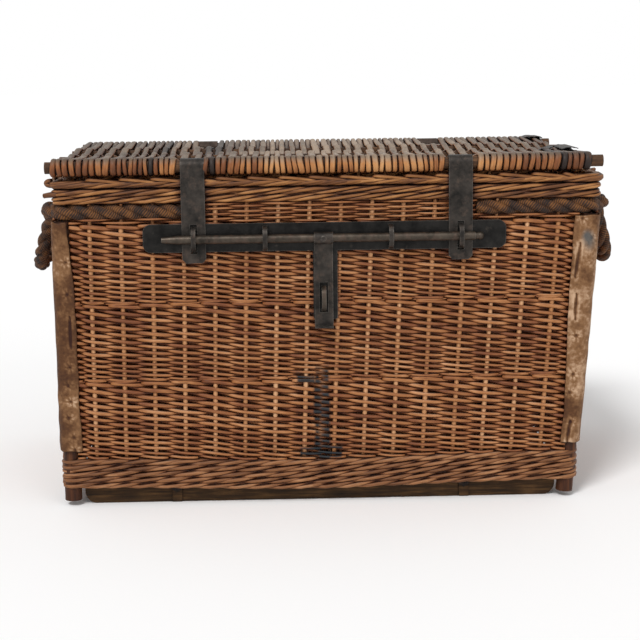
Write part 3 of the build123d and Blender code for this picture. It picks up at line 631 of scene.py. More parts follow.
for side_name, side, drops in (("left", -1, LOOP_LEFT), ("right", 1, LOOP_RIGHT)):
    joint = next(j for j in frame["joints"] if j["name"] == f"rope_{side_name}_swing")
    loop_x = joint["pos_m"][0]
    route = [
        (
            loop_x + side * drop * MM * math.sin(LOOP_TILT),
            CENTRE_Y + y * MM,
            ROPE_Z - drop * MM * math.cos(LOOP_TILT),
        )
        for y, drop in drops
    ]
    loop, line = laid_rope(
        f"rope_handle_{side_name}", route, f"rope_{side_name}", f"rope_loop_{side_name}"
    )
    for end_name, end in (("front", -1), ("rear", 1)):
        low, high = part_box(f"rope_tail_{end_name}_{side_name}")
        in_wall_x = loop_x - side * TAIL_INSIDE * MM
        in_wall_y = (low.y if end < 0 else high.y) - end * ROPE_RADIUS
        inner_x = high.x if side < 0 else low.x
        turns = [CENTRE_Y + end * y * MM for y in TAIL_TURN]
        route = [
            (inner_x, in_wall_y, ROPE_Z),
            (in_wall_x - side * TAIL_STRAIGHT[0] * MM, in_wall_y, ROPE_Z),
            (in_wall_x - side * TAIL_STRAIGHT[1] * MM, in_wall_y, ROPE_Z),
            (in_wall_x, turns[0], ROPE_Z),
            (loop_x, turns[1], ROPE_Z),
            (loop_x, turns[2], ROPE_Z),
        ]
        tail = f"{end_name}_{side_name}"
        laid_rope(f"rope_end_{tail}", route, "trunk", f"rope_tail_{tail}")


# Walls: three bands of weave, with rows of thin rods between and above them

WALL = 16 * MM
WEAVE_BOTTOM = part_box("foot_wale")[1].z
WEAVE_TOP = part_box("corner_hide_front_left")[1].z - 6 * MM
WALE_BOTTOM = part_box("upper_wale")[0].z
band_tops = [WEAVE_TOP - i * (WEAVE_TOP - WEAVE_BOTTOM) / 3 for i in range(4)]
# In a band a rod starts at each stake and runs down to the right, a level lower at each stake,
# so that at every stake the rods lie in front and behind in turn
LEVELS = 25
POINTS_A_STAKE = 6
# A rod's radius from butt to tip, how thickness varies from rod to rod, how far a rod wanders
# up and down by itself and with its neighbours, and how far it stays inside the wall's face
BUTT_RADIUS = 2.85 * MM
TIP_RADIUS = 1.8 * MM
ROD_SIZES = (0.86, 1.12)
OWN_WANDER = 0.7 * MM
SHARED_WANDER = 1.2 * MM
ROD_MARGIN = 0.4 * MM
# How far before its first stake a rod starts, how far short of its last level it stops, and
# the shortest that is made, all in stakes
BUTT_REACH = 0.45
TIP_SHORT = 0.6
SHORTEST = 0.3
# How late a rod leaves the front of a stake and the back of one, and how square its swing is
LEAVES_FRONT = 1.35
LEAVES_BACK = 0.85
SWING_SHAPE = 0.7
# Thin rods: their radius and how it varies, how far below and above the meeting of two bands
# their rows reach, and how far above the top band they stop where rope tails lie
THIN_RADIUS = 1.75 * MM
THIN_SIZES = (0.85, 1.15)
MEETING_ROWS = (2.5 * MM, 3.5 * MM)
ROWS_BELOW_ROPES = 9 * MM
# Stakes: their radius, how much further out they stand where they are bare than where they
# are covered, how far inside the wall's middle they are there, over what height that changes,
# and how much of their thickness is left
STAKE_RADIUS = 3.9 * MM
STAKE_MOVES = 4 * MM
STAKE_BACK = 3 * MM
STAKE_CHANGE = 7 * MM
STAKE_COVERED = 0.75
# How full a wall's rods are, the pitch of its thin rows, and how far from a corner post's axis
# its rods end: the front is open, as in the photograph, and the others are woven closer
OPEN_WEAVE = (1.06, 3.9 * MM, 12 * MM)
CLOSE_WEAVE = (1.75, 2.9 * MM, 7 * MM)
# The sag of the front's foot: its depth, its middle and half width, the heights where it starts
# and is whole, and how far in front of the middle of the depth it is whole
SAG = 8.5 * MM
SAG_X = -30 * MM
SAG_WIDTH = 240 * MM
SAG_START_Z = 220 * MM
SAG_WHOLE_Z = 90 * MM
SAG_WHOLE_Y = -200 * MM


def at_heights(lines, low, high):
    """The same upright lines, from one height to another."""
    rise = (lines[:, 1] - lines[:, 0]) / (lines[:, 1, 2] - lines[:, 0, 2])[:, None]
    return np.stack([lines[:, 0] + rise * (z - lines[:, 0, 2])[:, None] for z in (low, high)], 1)


def wall_path(anchors, t, z):
    """Points in the wall's middle plane, at places t along it and heights z."""
    share = (z - anchors[0, 0, 2]) / (anchors[0, 1, 2] - anchors[0, 0, 2])
    cell = np.clip(np.floor(t).astype(int), 0, len(anchors) - 2)
    part = (t - cell)[:, None]
    near = anchors[cell, 0] + (anchors[cell, 1] - anchors[cell, 0]) * share[:, None]
    far = anchors[cell + 1, 0] + (anchors[cell + 1, 1] - anchors[cell + 1, 0]) * share[:, None]
    points = near + (far - near) * part
    points[:, 2] = z
    return points


def place_along(anchors, x, z):
    """Where along a front or rear wall, counted in stakes, it reaches an x at a height."""
    share = (z - anchors[0, 0, 2]) / (anchors[0, 1, 2] - anchors[0, 0, 2])
    at = anchors[:, 0, 0] + (anchors[:, 1, 0] - anchors[:, 0, 0]) * share
    order = np.argsort(at)
    return float(np.interp(x, at[order], np.arange(len(at))[order]))


def wall_anchors(stakes, posts, outward, post_gap):
    """A wall's stakes with its two ends, which stop a gap short of each corner post's axis."""
    anchors = np.concatenate([posts[:1], stakes, posts[1:]])
    for end, inside in ((0, 1), (-1, -2)):
        anchors[end] += outward * ((stakes[end] - anchors[end]) @ outward)[:, None]
        toward = anchors[inside] - anchors[end]
        toward /= np.linalg.norm(toward, axis=1)[:, None]
        anchors[end] += toward * post_gap
    return anchors


def woven_rod(anchors, outward, fullness, start, heights, t):
    """One rod from the stake where it starts, through places t along the wall. It is pressed
    flat, stays longer in front of a stake than behind it, and is full for a close weave."""
    level = t - start
    size = rng.uniform(*ROD_SIZES) * fullness
    radius = np.interp(level, [0, LEVELS - 1], [BUTT_RADIUS, TIP_RADIUS]) * size
    z = np.interp(level, np.arange(LEVELS), heights)
    z = z + smooth_noise(t * 1.7 + 31 * start, 1.0, 5) * OWN_WANDER
    z = z + smooth_noise(t, 1.3, 60) * SHARED_WANDER
    reach = WALL / 2 - ROD_MARGIN - radius
    step = np.floor(level)
    part = level - step
    late = np.where(step % 2 == 0, part**LEAVES_FRONT, part**LEAVES_BACK)
    swing = np.cos(math.pi * (step + late))
    swing = np.sign(swing) * abs(swing) ** SWING_SHAPE
    offset = reach * swing - abs(smooth_noise(t + 17 * start, 2.0, 9)) * 0.5 * MM
    path = wall_path(anchors, t, z) + offset[:, None] * outward
    tall = 1.0 + 0.12 * fullness**2
    return path, np.stack([tall * radius, radius]), UP, rng.uniform(0, 1)


def woven_bands(anchors, outward, fullness):
    """The rods of a wall's three bands, each from just before a stake to just past its last."""
    last = len(anchors) - 1
    drops = np.concatenate([[0], np.cumsum(np.linspace(1.25, 0.75, LEVELS))])
    drops = (drops[:-1] + drops[1:]) / 2 / drops[-1]
    rods = []
    for top, bottom in zip(band_tops, band_tops[1:]):
        heights = top - drops * (top - bottom)
        for start in range(1 - LEVELS, last):
            low_t = max(0.0, start - BUTT_REACH)
            high_t = min(last, start + LEVELS - TIP_SHORT)
            if high_t - low_t < SHORTEST:
                continue
            t = np.linspace(low_t, high_t, max(3, round((high_t - low_t) * POINTS_A_STAKE)))
            rods.append(woven_rod(anchors, outward, fullness, start, heights, t))
    return rods


def thin_rows(anchors, outward, from_t, to_t, bottom, top, fullness, pitch):
    """Rows of thin rods, each in front of one stake and behind the next."""
    rods = []
    count = round((top - bottom) / pitch)
    for row in range(count):
        height = bottom + (row + 0.5) * (top - bottom) / count
        t = np.linspace(from_t, to_t, max(3, round((to_t - from_t) * POINTS_A_STAKE)))
        z = height + smooth_noise(t + 13 * row, 1.4, 3) * 0.2 * pitch
        radius = THIN_RADIUS * fullness * rng.uniform(*THIN_SIZES)
        offset = (WALL / 2 - radius) * np.cos(math.pi * (t + row))
        path = wall_path(anchors, t, z) + offset[:, None] * outward
        rods.append((path, np.full(len(t), radius), UP, rng.uniform(0, 1)))
    return rods


def sag_foot(path):
    """Lets a path sag where it is low down in the front wall, most near the wall's middle."""
    x, y, z = path.T
    middle = fading(x - SAG_X, SAG_WIDTH)
    low_down = np.clip((SAG_START_Z - z) / (SAG_START_Z - SAG_WHOLE_Z), 0, 1)
    path[:, 2] -= SAG * middle * low_down * np.clip(y / SAG_WHOLE_Y, 0, 1)


def stake_rods(lines, axis, outward, between):
    """A wall's stakes, set back and thinner where something covers them. That is at the foot
    and top of each, and from the ropes up where rope tails lie outside a stretch of x."""
    stakes = []
    for foot, head in lines:
        share = np.linspace(0, 1, 56)
        path = foot + (head - foot) * share[:, None]
        covered = between is not None and not min(between) < foot[0] < max(between)
        cover = WEAVE_TOP + 2 * MM if covered else WALE_BOTTOM
        z = path[:, 2]
        bare = np.clip(np.minimum(z - WEAVE_BOTTOM, cover - z) / STAKE_CHANGE, 0, 1)
        wave = smooth_noise(share * 9 + foot[axis] * 40, 1.0, 33) * 0.5 * MM
        path = path + outward * (STAKE_MOVES * bare - STAKE_BACK + wave)[:, None]
        size = STAKE_RADIUS * (STAKE_COVERED + (1 - STAKE_COVERED) * bare)
        size = size * (1 + 0.08 * smooth_noise(share * 14 + foot[axis] * 70, 1.0, 35))
        stakes.append((path, size, outward, rng.uniform(0, 1)))
    return stakes


corner_lines = {
    corner: rod_lines(f"corner_post_{corner}", 0)[0]
    for corner in ("front_left", "front_right", "rear_left", "rear_right")
}
# Each wall's axis (0 x, 1 y), whether left to right as seen from outside goes up (1) or down
# (-1) that axis, its two corners in that order, and the way it faces
WALLS = {
    "front": (0, 1, ("front_left", "front_right"), (0, -1, 0)),
    "right": (1, 1, ("front_right", "rear_right"), (1, 0, 0)),
    "rear": (0, -1, ("rear_right", "rear_left"), (0, 1, 0)),
    "left": (1, -1, ("rear_left", "front_left"), (-1, 0, 0)),
}


def make_wall(name, axis, order, corners, outward):
    """Makes a wall's weave and stakes, and returns its stakes and ends."""
    front = name == "front"
    fullness, pitch, post_gap = OPEN_WEAVE if front else CLOSE_WEAVE
    lines = rod_lines(f"{name}_stakes", axis)[::order]
    low, high = lines[:, :, 2].mean(0)
    lines = at_heights(lines, low, high)
    posts = at_heights(np.array([corner_lines[corner] for corner in corners]), low, high)
    anchors = wall_anchors(lines, posts, outward, post_gap)
    last = len(anchors) - 1
    rods = woven_bands(anchors, outward, fullness)
    for top in band_tops[1:3] if front else band_tops[1:]:
        low, high = top - MEETING_ROWS[0], top + MEETING_ROWS[1]
        rods += thin_rows(anchors, outward, 0, last, low, high, fullness, pitch)
    between = None
    from_t, to_t = 1, last - 1
    if axis == 0:
        tails = [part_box(f"rope_tail_{corner}") for corner in corners]
        between = [tail[1 if corner.endswith("left") else 0].x for tail, corner in zip(tails, corners)]
        from_t, to_t = (place_along(anchors, x, WALE_BOTTOM) for x in between)
    under_ropes = WEAVE_TOP + ROWS_BELOW_ROPES
    rods += thin_rows(anchors, outward, 0, last, WEAVE_TOP, under_ropes, fullness, pitch)
    rods += thin_rows(anchors, outward, from_t, to_t, under_ropes, WALE_BOTTOM, fullness, pitch)
    if front:
        for rod in rods:
            sag_foot(rod[0])
    material = front_willow if front else wall_willow
    rod_piece(f"{name}_weave", rods, material, "trunk", "willow_weave", [f"{name}_wall"])
    stakes = stake_rods(lines, axis, outward, between)
    replaced = [f"{name}_stakes"]
    rod_piece(f"{name}_stake_rods", stakes, stake_willow, "trunk", "willow_stake", replaced, 8)
    return anchors


walls = []
for wall_name, (axis, order, corners, outward) in WALLS.items():
    outward = np.array(outward, float)
    walls.append((outward, make_wall(wall_name, axis, order, corners, outward)))


# Rings of twisted rods round the basket
def ring_route(box, inset, radius, count):
    """Points round a rounded rectangle inside a box, counter-clockwise from above and closed at
    the middle of the rear, with their outward directions and the length of the way round."""
    low, high = box
    half = np.array([high.x - low.x, high.y - low.y]) / 2 - inset
    middle = np.array([high.x + low.x, high.y + low.y]) / 2
    straight = 2 * (half - radius)
    arc = radius * math.pi / 2
    total = 2 * straight.sum() + 4 * arc
    from_rear = 1.5 * straight[0] + straight[1] + 2 * arc
    points, normals = [], []
    for distance in np.linspace(from_rear, from_rear + total, count) % total:
        at = np.array([-half[0] + radius, -half[1]])
        for side, way in enumerate(np.array([(1, 0), (0, 1), (-1, 0), (0, -1)], float)):
            out = np.array([way[1], -way[0]])
            run = straight[side % 2]
            if distance <= run + arc:
                a = max(0.0, distance - run) / radius
                bend = radius * (out * (math.cos(a) - 1) + way * math.sin(a))
                points.append(at + way * min(distance, run) + bend)
                normals.append(out * math.cos(a) + way * math.sin(a))
                break
            distance -= run + arc
            at = at + way * (run + radius) - out * radius
    return np.array(points) + middle, np.array(normals), total


def tucked(along, length, end_run):
    """One along a rod, and falling towards nothing over the run at each end."""
    return np.clip(np.minimum(along, length - along) / end_run, 0, 1) ** 0.6


CORE_RADIUS = 3.1 * MM
RING_CORNER = 14 * MM
RING_POINTS = 520
# How many points past its start a ring goes on, so that its ends overlap
RING_OVERLAP = slice(1, 14)
# The lengths of a ring's rods, the shortest last piece, and how much of each end is tucked in
# and how deep
ROD_LENGTHS = (0.35, 0.9)
SHORTEST_ROD = 0.12
TUCKED_LENGTH = 30 * MM
TUCKED_DEPTH = 4 * MM
# How much of a turn each row starts after the one below, how far a rod's turns drift, how long
# it lingers in front, and how its radius and height vary
ROW_SHIFT = 0.37
TURN_DRIFT = 0.5
LINGER = 0.45
RADIUS_SPREAD = 0.16
HEIGHT_WANDER = 0.9
# How a rod thins from its butt to its tip, and how much more where it is tucked in
TAPER = (1.06, 0.84)
TUCKED_TAPER = 0.35


def twisted_ring(name, rows, strands, stroke, radius, thickness, rise, lowered=0.0):
    """Rows of rods twisted round each other and round the basket, as in a wale: in front each
    runs up to the right, and behind it drops back. The rods are of several lengths, and more
    of them run plainly round inside the twist. At the corners all of them stay outside."""
    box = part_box(name)
    low, high = box[0].z, box[1].z - lowered
    row_height = (high - low) / rows
    route, normals, total = ring_route(box, thickness / 2, RING_CORNER, RING_POINTS)
    # From none on the straights to one round the corners
    cornering = np.clip(3.2 * np.min(abs(normals), axis=1), 0, 1)
    cornering = np.convolve(np.pad(cornering, 12, "wrap"), np.ones(13) / 13, "same")[12:-12]
    cornering = np.clip(1.6 * cornering, 0, 1)
    distance = np.linspace(0, total, len(route))
    route = np.concatenate([route, route[RING_OVERLAP]])
    normals = np.concatenate([normals, normals[RING_OVERLAP]])
    cornering = np.concatenate([cornering, cornering[RING_OVERLAP]])
    distance = np.concatenate([distance, distance[RING_OVERLAP] + total])
    turns = round(total / stroke)
    rods = []
    for row in range(rows):
        for strand in range(strands):
            seed = 10 * row + strand
            phase = 2 * math.pi * (turns * distance / total + strand / strands + ROW_SHIFT * row)
            phase = phase + TURN_DRIFT * smooth_noise(distance + 3 * seed, 0.16, 30)
            phase = phase - LINGER * np.sin(phase)
            size = radius * (1 + RADIUS_SPREAD * smooth_noise(distance + 3 * seed, 0.3, 21))
            wobble = smooth_noise(distance + 5 * seed, 0.12, 8) * HEIGHT_WANDER * MM
            z = low + row_height * (row + 0.5) + rise * np.sin(phase) + wobble
            z = np.clip(z, low + size, high - size)
            swing = np.cos(phase) * (1 - cornering) + cornering
            reach = (thickness / 2 - size) * swing
            start = 0.0
            while start < total - SHORTEST_ROD:
                end = min(total, start + rng.uniform(*ROD_LENGTHS))
                end = total if total - end < SHORTEST_ROD else end
                part = (distance >= start - TUCKED_LENGTH) & (distance <= end + TUCKED_LENGTH)
                run = distance[part] - distance[part][0]
                inward = 1 - tucked(run, run[-1], TUCKED_LENGTH)
                offset = reach[part] - inward * TUCKED_DEPTH
                flat = route[part] + normals[part] * offset[:, None]
                path = np.column_stack([flat, z[part]])
                taper = np.linspace(*TAPER, len(path)) * (1 - TUCKED_TAPER * inward)
                rods.append((path, size[part] * taper, UP, rng.uniform(0, 1)))
                start = end
    count = math.ceil((high - low) / (1.8 * CORE_RADIUS))
    for z in np.linspace(low + CORE_RADIUS, high - CORE_RADIUS, count):
        path = np.column_stack([route, np.full(len(route), z)])[::4]
        rods.append((path, np.full(len(path), CORE_RADIUS), UP, rng.uniform(0, 1)))
    return rods


# The radii of a stake's bent end and how far it strays along the wall, both in mm, and the room
# that it needs before the corner
TIP_RADII = (3.3, 2.4)
TIP_STRAY = (-3, 3)
TIP_ROOM = 82 * MM


def stake_tips(outward, anchors, height, reach):
    """The ends of one wall's stakes, bent over the top and laid down to the right. Each turn is
    how far along the wall, how far out and how far down it is, in mm."""
    along = anchors[-1, 1] - anchors[0, 1]
    along[2] = 0
    along /= np.linalg.norm(along)
    turns = [
        (0, -2, 14), (0, 2, 7), (1, reach - 5, 3.2), (9, reach - 2.5, 3.4),
        (34, reach - 2.5, 6), (62, reach - 4, 9.5), (80, reach - 9, 13),
    ]
    rods = []
    for foot in anchors[1:-1, 1]:
        foot = foot + along * rng.uniform(*TIP_STRAY) * MM
        room = min(1, (anchors[-1, 1] - foot) @ along / TIP_ROOM)
        path = np.array([foot + along * a * room * MM + outward * b * MM for a, b, _ in turns])
        path[:, 2] = [height - down * MM for _, _, down in turns]
        path = smooth_path(path, 5 * MM)
        size = np.linspace(*TIP_RADII, len(path)) * MM
        rods.append((path, size, UP, rng.uniform(0.2, 1)))
    return rods


def corner_ends(box):
    """A rod bent back at the left front corner of the border, and a cut end below it, both in
    mm from that corner of the border's box."""
    low, high = box
    turn = np.radians(np.linspace(-110, 110, 13))
    bent = np.column_stack(
        [
            low.x + (3 - 7 * np.cos(turn)) * MM,
            low.y + (18 + 7 * np.cos(turn / 2)) * MM,
            high.z + (-9 + 3.8 * np.sin(turn)) * MM,
        ]
    )
    cut = np.array([(16, 12, -26), (4, 14, -27), (-4, 16, -28), (-8, 17, -29)])
    cut = smooth_path(np.array([low.x, low.y, high.z]) + cut * MM, 4 * MM)
    return [
        (bent, np.full(len(bent), 4.2 * MM), np.array([0, 1.0, 0]), 0.1),
        (cut, np.linspace(5.2, 3.9, len(cut)) * MM, UP, -0.4),
    ]


foot_rods = twisted_ring(
    "foot_wale", rows=5, strands=3, stroke=112 * MM, radius=3.3 * MM, thickness=22 * MM, rise=4.4 * MM
)
for rod in foot_rods:
    sag_foot(rod[0])
wale_rods = twisted_ring(
    "upper_wale", rows=2, strands=3, stroke=126 * MM, radius=3.4 * MM, thickness=17 * MM, rise=5 * MM
)
border_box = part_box("top_border")
border_rods = twisted_ring(
    "top_border",
    rows=1,
    strands=6,
    stroke=150 * MM,
    radius=3.4 * MM,
    thickness=24 * MM,
    rise=4.6 * MM,
    lowered=4 * MM,
)
for outward, anchors in walls:
    border_rods += stake_tips(outward, anchors, border_box[1].z, reach=11)
border_rods += corner_ends(border_box)
rod_piece("foot_wale_rods", foot_rods, foot_willow, "trunk", "willow_weave", ["foot_wale"])
rod_piece("upper_wale_rods", wale_rods, border_willow, "trunk", "willow_weave", ["upper_wale"])
rod_piece("top_border_rods", border_rods, border_willow, "trunk", "willow_weave", ["top_border"])


# Lid: rods that wrap the front and rear sticks and cross over and under those between
lid_low, lid_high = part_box("lid_weave")
front_low, front_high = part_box("lid_stick_front")
rear_low, rear_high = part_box("lid_stick_rear")
inner_low, inner_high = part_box("lid_inner_sticks")
STICK = (front_high.z - front_low.z) / 2
INNER_STICK = (inner_high.z - inner_low.z) / 2
stick_z = (front_low.z + front_high.z) / 2
front_y = (front_low.y + front_high.y) / 2
rear_y = (rear_low.y + rear_high.y) / 2
inner_rows = rod_rows("lid_inner_sticks")
# The lid rods' pitch and how their widths vary, their radius through the lid and how that
# varies, and how far they lean along their length and slant where they wrap the front stick
LID_PITCH = 9.9 * MM
LID_WIDTHS = (0.78, 1.2)
ROD_THICK = 3.1 * MM
LID_THICKS = (0.85, 1.0)
LID_LEAN = 1.0 * MM
LID_SLANT_SHARED = 1.6 * MM
LID_SLANT_OWN = 1.4 * MM
# How much of its place a rod fills where it wraps a stick, and between the sticks
LID_SNUG = (0.82, 0.98)
LID_BROAD = 1.12
# How a rod bows over a stick between: how far along it, in bends of a length of its own, and its
# share of the full height there
BOW = ((-2.4, 0.62), (-1, 0.93), (0, 1), (1, 0.93), (2.4, 0.62))
BENDS = (9, 13)
# How far behind the front stick its tucked end lies and how deep, where its front end tucks in
# by angle, and how near to a stick that is left open it comes
TUCKED_END = (30 * MM, 4 * MM)
TUCK_ANGLES = (-96, -62)
OPEN_END = 23 * MM
# How far behind the front stick a rod starts to slant and in what length it does so wholly, and
# over what length from a stick it gets broader
SLANT_FROM = 12 * MM
SLANT_OVER = 24 * MM
BROAD_OVER = 45 * MM


def iron_spans(*names):
    """The stretches of x, with a margin, where iron is folded round a stick and no rod fits."""
    boxes = [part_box(name) for name in names]
    return [(low.x - 2 * MM, high.x + 2 * MM) for low, high in boxes]


front_irons = iron_spans("hasp_left", "hasp_right")
rear_irons = iron_spans("hinge_strap_left", "hinge_strap_right")


def stick_wrap(y, from_angle, to_angle):
    """Points (y, z) of a rod round a stick, by angle from the rear over the top."""
    radius = STICK + ROD_THICK
    angles = np.radians(np.linspace(from_angle, to_angle, 9))
    return [(y + radius * math.cos(a), stick_z + radius * math.sin(a)) for a in angles]


def lid_rod(index, front_open, rear_open):
    """The path (y, z) of one lid rod, from its tucked front end to its rear end. It stops
    short of a stick that is left open for iron there."""
    over = INNER_STICK + ROD_THICK
    tuck = rng.uniform(*TUCK_ANGLES)
    path = []
    if front_open:
        path += [(front_y + OPEN_END, stick_z)]
    else:
        path += [(front_y + TUCKED_END[0], stick_z - TUCKED_END[1])]
        path += stick_wrap(front_y, tuck, -270)
        path += [(front_y + 16 * MM, stick_z + STICK + ROD_THICK - 1.5 * MM)]
    for i, y in enumerate(inner_rows):
        side = 1 if (i + index) % 2 else -1
        bend = rng.uniform(*BENDS) * MM
        for along, share in BOW:
            path.append((y + along * bend, stick_z + side * over * share))
    if rear_open:
        path += [(rear_y - OPEN_END, stick_z)]
    else:
        path += stick_wrap(rear_y, 90, -105)
        path += [(rear_y - TUCKED_END[0], stick_z - TUCKED_END[1])]
    return np.array(path)


def lid_tone_and_shade(x):
    """The tone of the lid rod at x: a few are dark anywhere, those left of the middle are darker
    and those in the middle lighter, painted shade and light against the key light from the
    left, and those at the right end are dark too, as in the photograph."""
    tone = rng.uniform(0.1, 1) if rng.uniform() < 0.93 else rng.uniform(-1.6, -0.8)
    # Painted shade on the left and painted light in the middle, against the key light from the left
    tone += np.interp(x, [-0.4, -0.18, 0.0, 0.2], [-0.5, -0.35, 0.45, 0.1])
    return tone - rng.uniform(0.3, 1.5) * np.clip((x - 0.2) / 0.16, 0, 1)


def lid_rods():
    """All the lid's rods, side by side from left to right. Each leans, most where it wraps the
    front stick, and is broader between the sticks than on them."""
    rods = []
    x = lid_low.x
    index = 0
    while x < lid_high.x - 0.4 * LID_PITCH:
        width = LID_PITCH * rng.uniform(*LID_WIDTHS)
        middle = x + width / 2
        front_open = any(a < middle < b for a, b in front_irons)
        rear_open = any(a < middle < b for a, b in rear_irons)
        path = smooth_path(lid_rod(index, front_open, rear_open), 6.5 * MM)
        y, z = path.T
        lean = smooth_noise(y + 0.977 * index, 0.07, 12) * LID_LEAN
        drift = smooth_noise(middle, 0.09, 15) * LID_SLANT_SHARED
        drift = drift + rng.uniform(-LID_SLANT_OWN, LID_SLANT_OWN)
        at_front = np.clip((front_y + SLANT_FROM - y) / SLANT_OVER, 0, 1)
        slant = drift * at_front * (z - stick_z) / STICK
        points = np.column_stack([middle + lean + slant, path])
        inner = np.clip(np.minimum(y - front_y, rear_y - y) / BROAD_OVER - 0.3, 0, 1)
        snug = np.linspace(rng.uniform(*LID_SNUG), rng.uniform(*LID_SNUG), len(path))
        half = width * 0.5 * (snug + (LID_BROAD - snug) * inner)
        thick = np.full(len(path), ROD_THICK * rng.uniform(*LID_THICKS))
        rods.append((points, np.stack([half, thick]), TO_RIGHT, lid_tone_and_shade(middle)))
        x += width
        index += 1
    return rods


rod_piece("lid_rods", lid_rods(), lid_willow, "lid", "willow_weave", ["lid_weave"], sides=8)


# Base: rods across its own long sticks
BASE_RADIUS = 4 * MM
BASE_PITCH = 5 * MM


def base_rods():
    """The base's rods, front to rear, over one long stick and under the next."""
    low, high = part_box("base_panel")
    middle = (low.z + high.z) / 2
    sticks = rod_rows("base_sticks")
    count = round((high.x - low.x) / BASE_PITCH)
    rods = []
    for index, x in enumerate(np.linspace(low.x + 3 * MM, high.x - 3 * MM, count)):
        path = [(low.y + 2 * MM, middle)]
        for i, y in enumerate(sticks, start=1):
            path.append((y, middle + (BASE_RADIUS if (i + index) % 2 else -BASE_RADIUS)))
        path.append((high.y - 2 * MM, middle))
        path = smooth_path(np.array(path), 16 * MM)
        points = np.column_stack([np.full(len(path), x), path])
        rods.append((points, np.full(len(path), BASE_RADIUS), TO_RIGHT, rng.uniform(0, 1)))
    return rods


rod_piece("base_rods", base_rods(), wall_willow, "trunk", "willow_weave", ["base_panel"])


# Rawhide corners and patches

# In mm: how wide the front or rear arm is at each height, the nail holes (distance from the
# corner, height), the slits (distance and height at the upper and the lower end) and the stains
# (distance, height, width)
HIDES = {
    "front_left": {
        "arm": [(92, 41), (180, 38), (310, 38), (390, 35), (440, 30), (476, 28)],
        "nails": [(25, 409), (26, 357), (25, 237), (21, 206), (25, 179), (20, 152), (27, 119), (28, 98)],
        "slits": [(28, 320, 28, 269)],
        "stains": [],
    },
    "front_right": {
        "arm": [(92, 36), (112, 37), (150, 34), (200, 38), (300, 42), (400, 45), (476, 46)],
        "nails": [(34, 468), (27, 275), (26, 210), (29, 180), (15, 436), (22, 130)],
        "slits": [(33, 428, 37, 372), (32, 344, 31, 302), (24, 132, 26, 96)],
        "stains": [(16, 429, 12), (24, 440, 9)],
    },
    "rear_left": {
        "arm": [(92, 44), (250, 41), (476, 43)],
        "nails": [(28, 450), (26, 350), (29, 240), (27, 120)],
        "slits": [],
        "stains": [],
    },
    "rear_right": {
        "arm": [(92, 43), (250, 44), (476, 41)],
        "nails": [(27, 440), (28, 330), (26, 220), (28, 130)],
        "slits": [],
        "stains": [],
    },
}
HIDE_ARM = 47 * MM
HIDE_SIDE_ARM = 43 * MM
HIDE_BEND = 20 * MM
HIDE_INSET = 1.2 * MM
HIDE_THICK = 1.8 * MM
# How far the ends, the front arm's edge and the side arm's edge wander
HIDE_RAGGED = (1.6 * MM, 0.9 * MM, 1.6 * MM)
# Swells over the whole sheet, each with its height and length, and how its edges curl in
HIDE_SWELLS = ((0.55 * MM, 19 * MM), (0.4 * MM, 8 * MM))
HIDE_CURL = (0.6 * MM, 3 * MM)
# The depth and radius of a nail hole, and the rays of pucker round it: how many, how high, how
# far out and how wide
NAIL_DEPTH = 1.3 * MM
NAIL_RADIUS = 2.2 * MM
RAYS = 7
RAY_HEIGHT = 0.5 * MM
RAY_AT = 7 * MM
RAY_WIDTH = 4 * MM
# The depth of a slit, its half width at the ends and what that gains in the middle, and the lip
# beside it: how high, how far out and how wide
SLIT_DEPTH = 1.5 * MM
SLIT_WIDTHS = (1.2 * MM, 1.6 * MM)
LIP_HEIGHT = 0.5 * MM
LIP_AT = 4 * MM
LIP_WIDTH = 2 * MM
# How much painted shade darkens holes and slits, and how much paler rays and lips are
HOLE_SHADE = 0.9
SLIT_SHADE = 0.75
RAY_PALE = 0.4
LIP_PALE = 0.25


def hide_marks(reach, z, marks):
    """How deep the nail holes and slits go at each point of the front arm, its tone, with
    painted shade in the holes and slits, and how stained it is. Hide puckers in rays round a
    nail and curls up beside a slit."""
    depth = np.zeros_like(reach)
    tone = np.full(reach.shape, 0.5)
    stain = np.zeros_like(reach)
    for at, height, wide in marks["stains"]:
        stain += fading(np.hypot(reach - at * MM, (z - height * MM) * 0.8), wide * MM)
    for at, height in marks["nails"]:
        gap = np.hypot(reach - at * MM, z - height * MM)
        bearing = np.arctan2(z - height * MM, reach - at * MM)
        rays = 0.5 + 0.5 * np.cos(RAYS * bearing + at)
        depth += NAIL_DEPTH * fading(gap, NAIL_RADIUS)
        depth -= RAY_HEIGHT * rays * fading(gap - RAY_AT, RAY_WIDTH)
        tone += RAY_PALE * rays * fading(gap - 6 * MM, 4.5 * MM)
        # Painted shade in the nail hole
        tone -= HOLE_SHADE * fading(gap, 2.4 * MM)
    for x0, z0, x1, z1 in marks["slits"]:
        share = np.clip((z0 * MM - z) / ((z0 - z1) * MM), 0, 1)
        beside = np.hypot(reach - (x0 + (x1 - x0) * share) * MM, z - (z0 + (z1 - z0) * share) * MM)
        wide = SLIT_WIDTHS[0] + SLIT_WIDTHS[1] * np.sin(math.pi * share)
        open_here = np.exp(-((beside / wide) ** 4))
        depth += SLIT_DEPTH * open_here
        depth -= LIP_HEIGHT * fading(beside - LIP_AT, LIP_WIDTH)
        # Painted shade in the slit
        tone -= SLIT_SHADE * open_here
        tone += LIP_PALE * fading(beside - 4.2 * MM, LIP_WIDTH)
    return depth, tone, stain


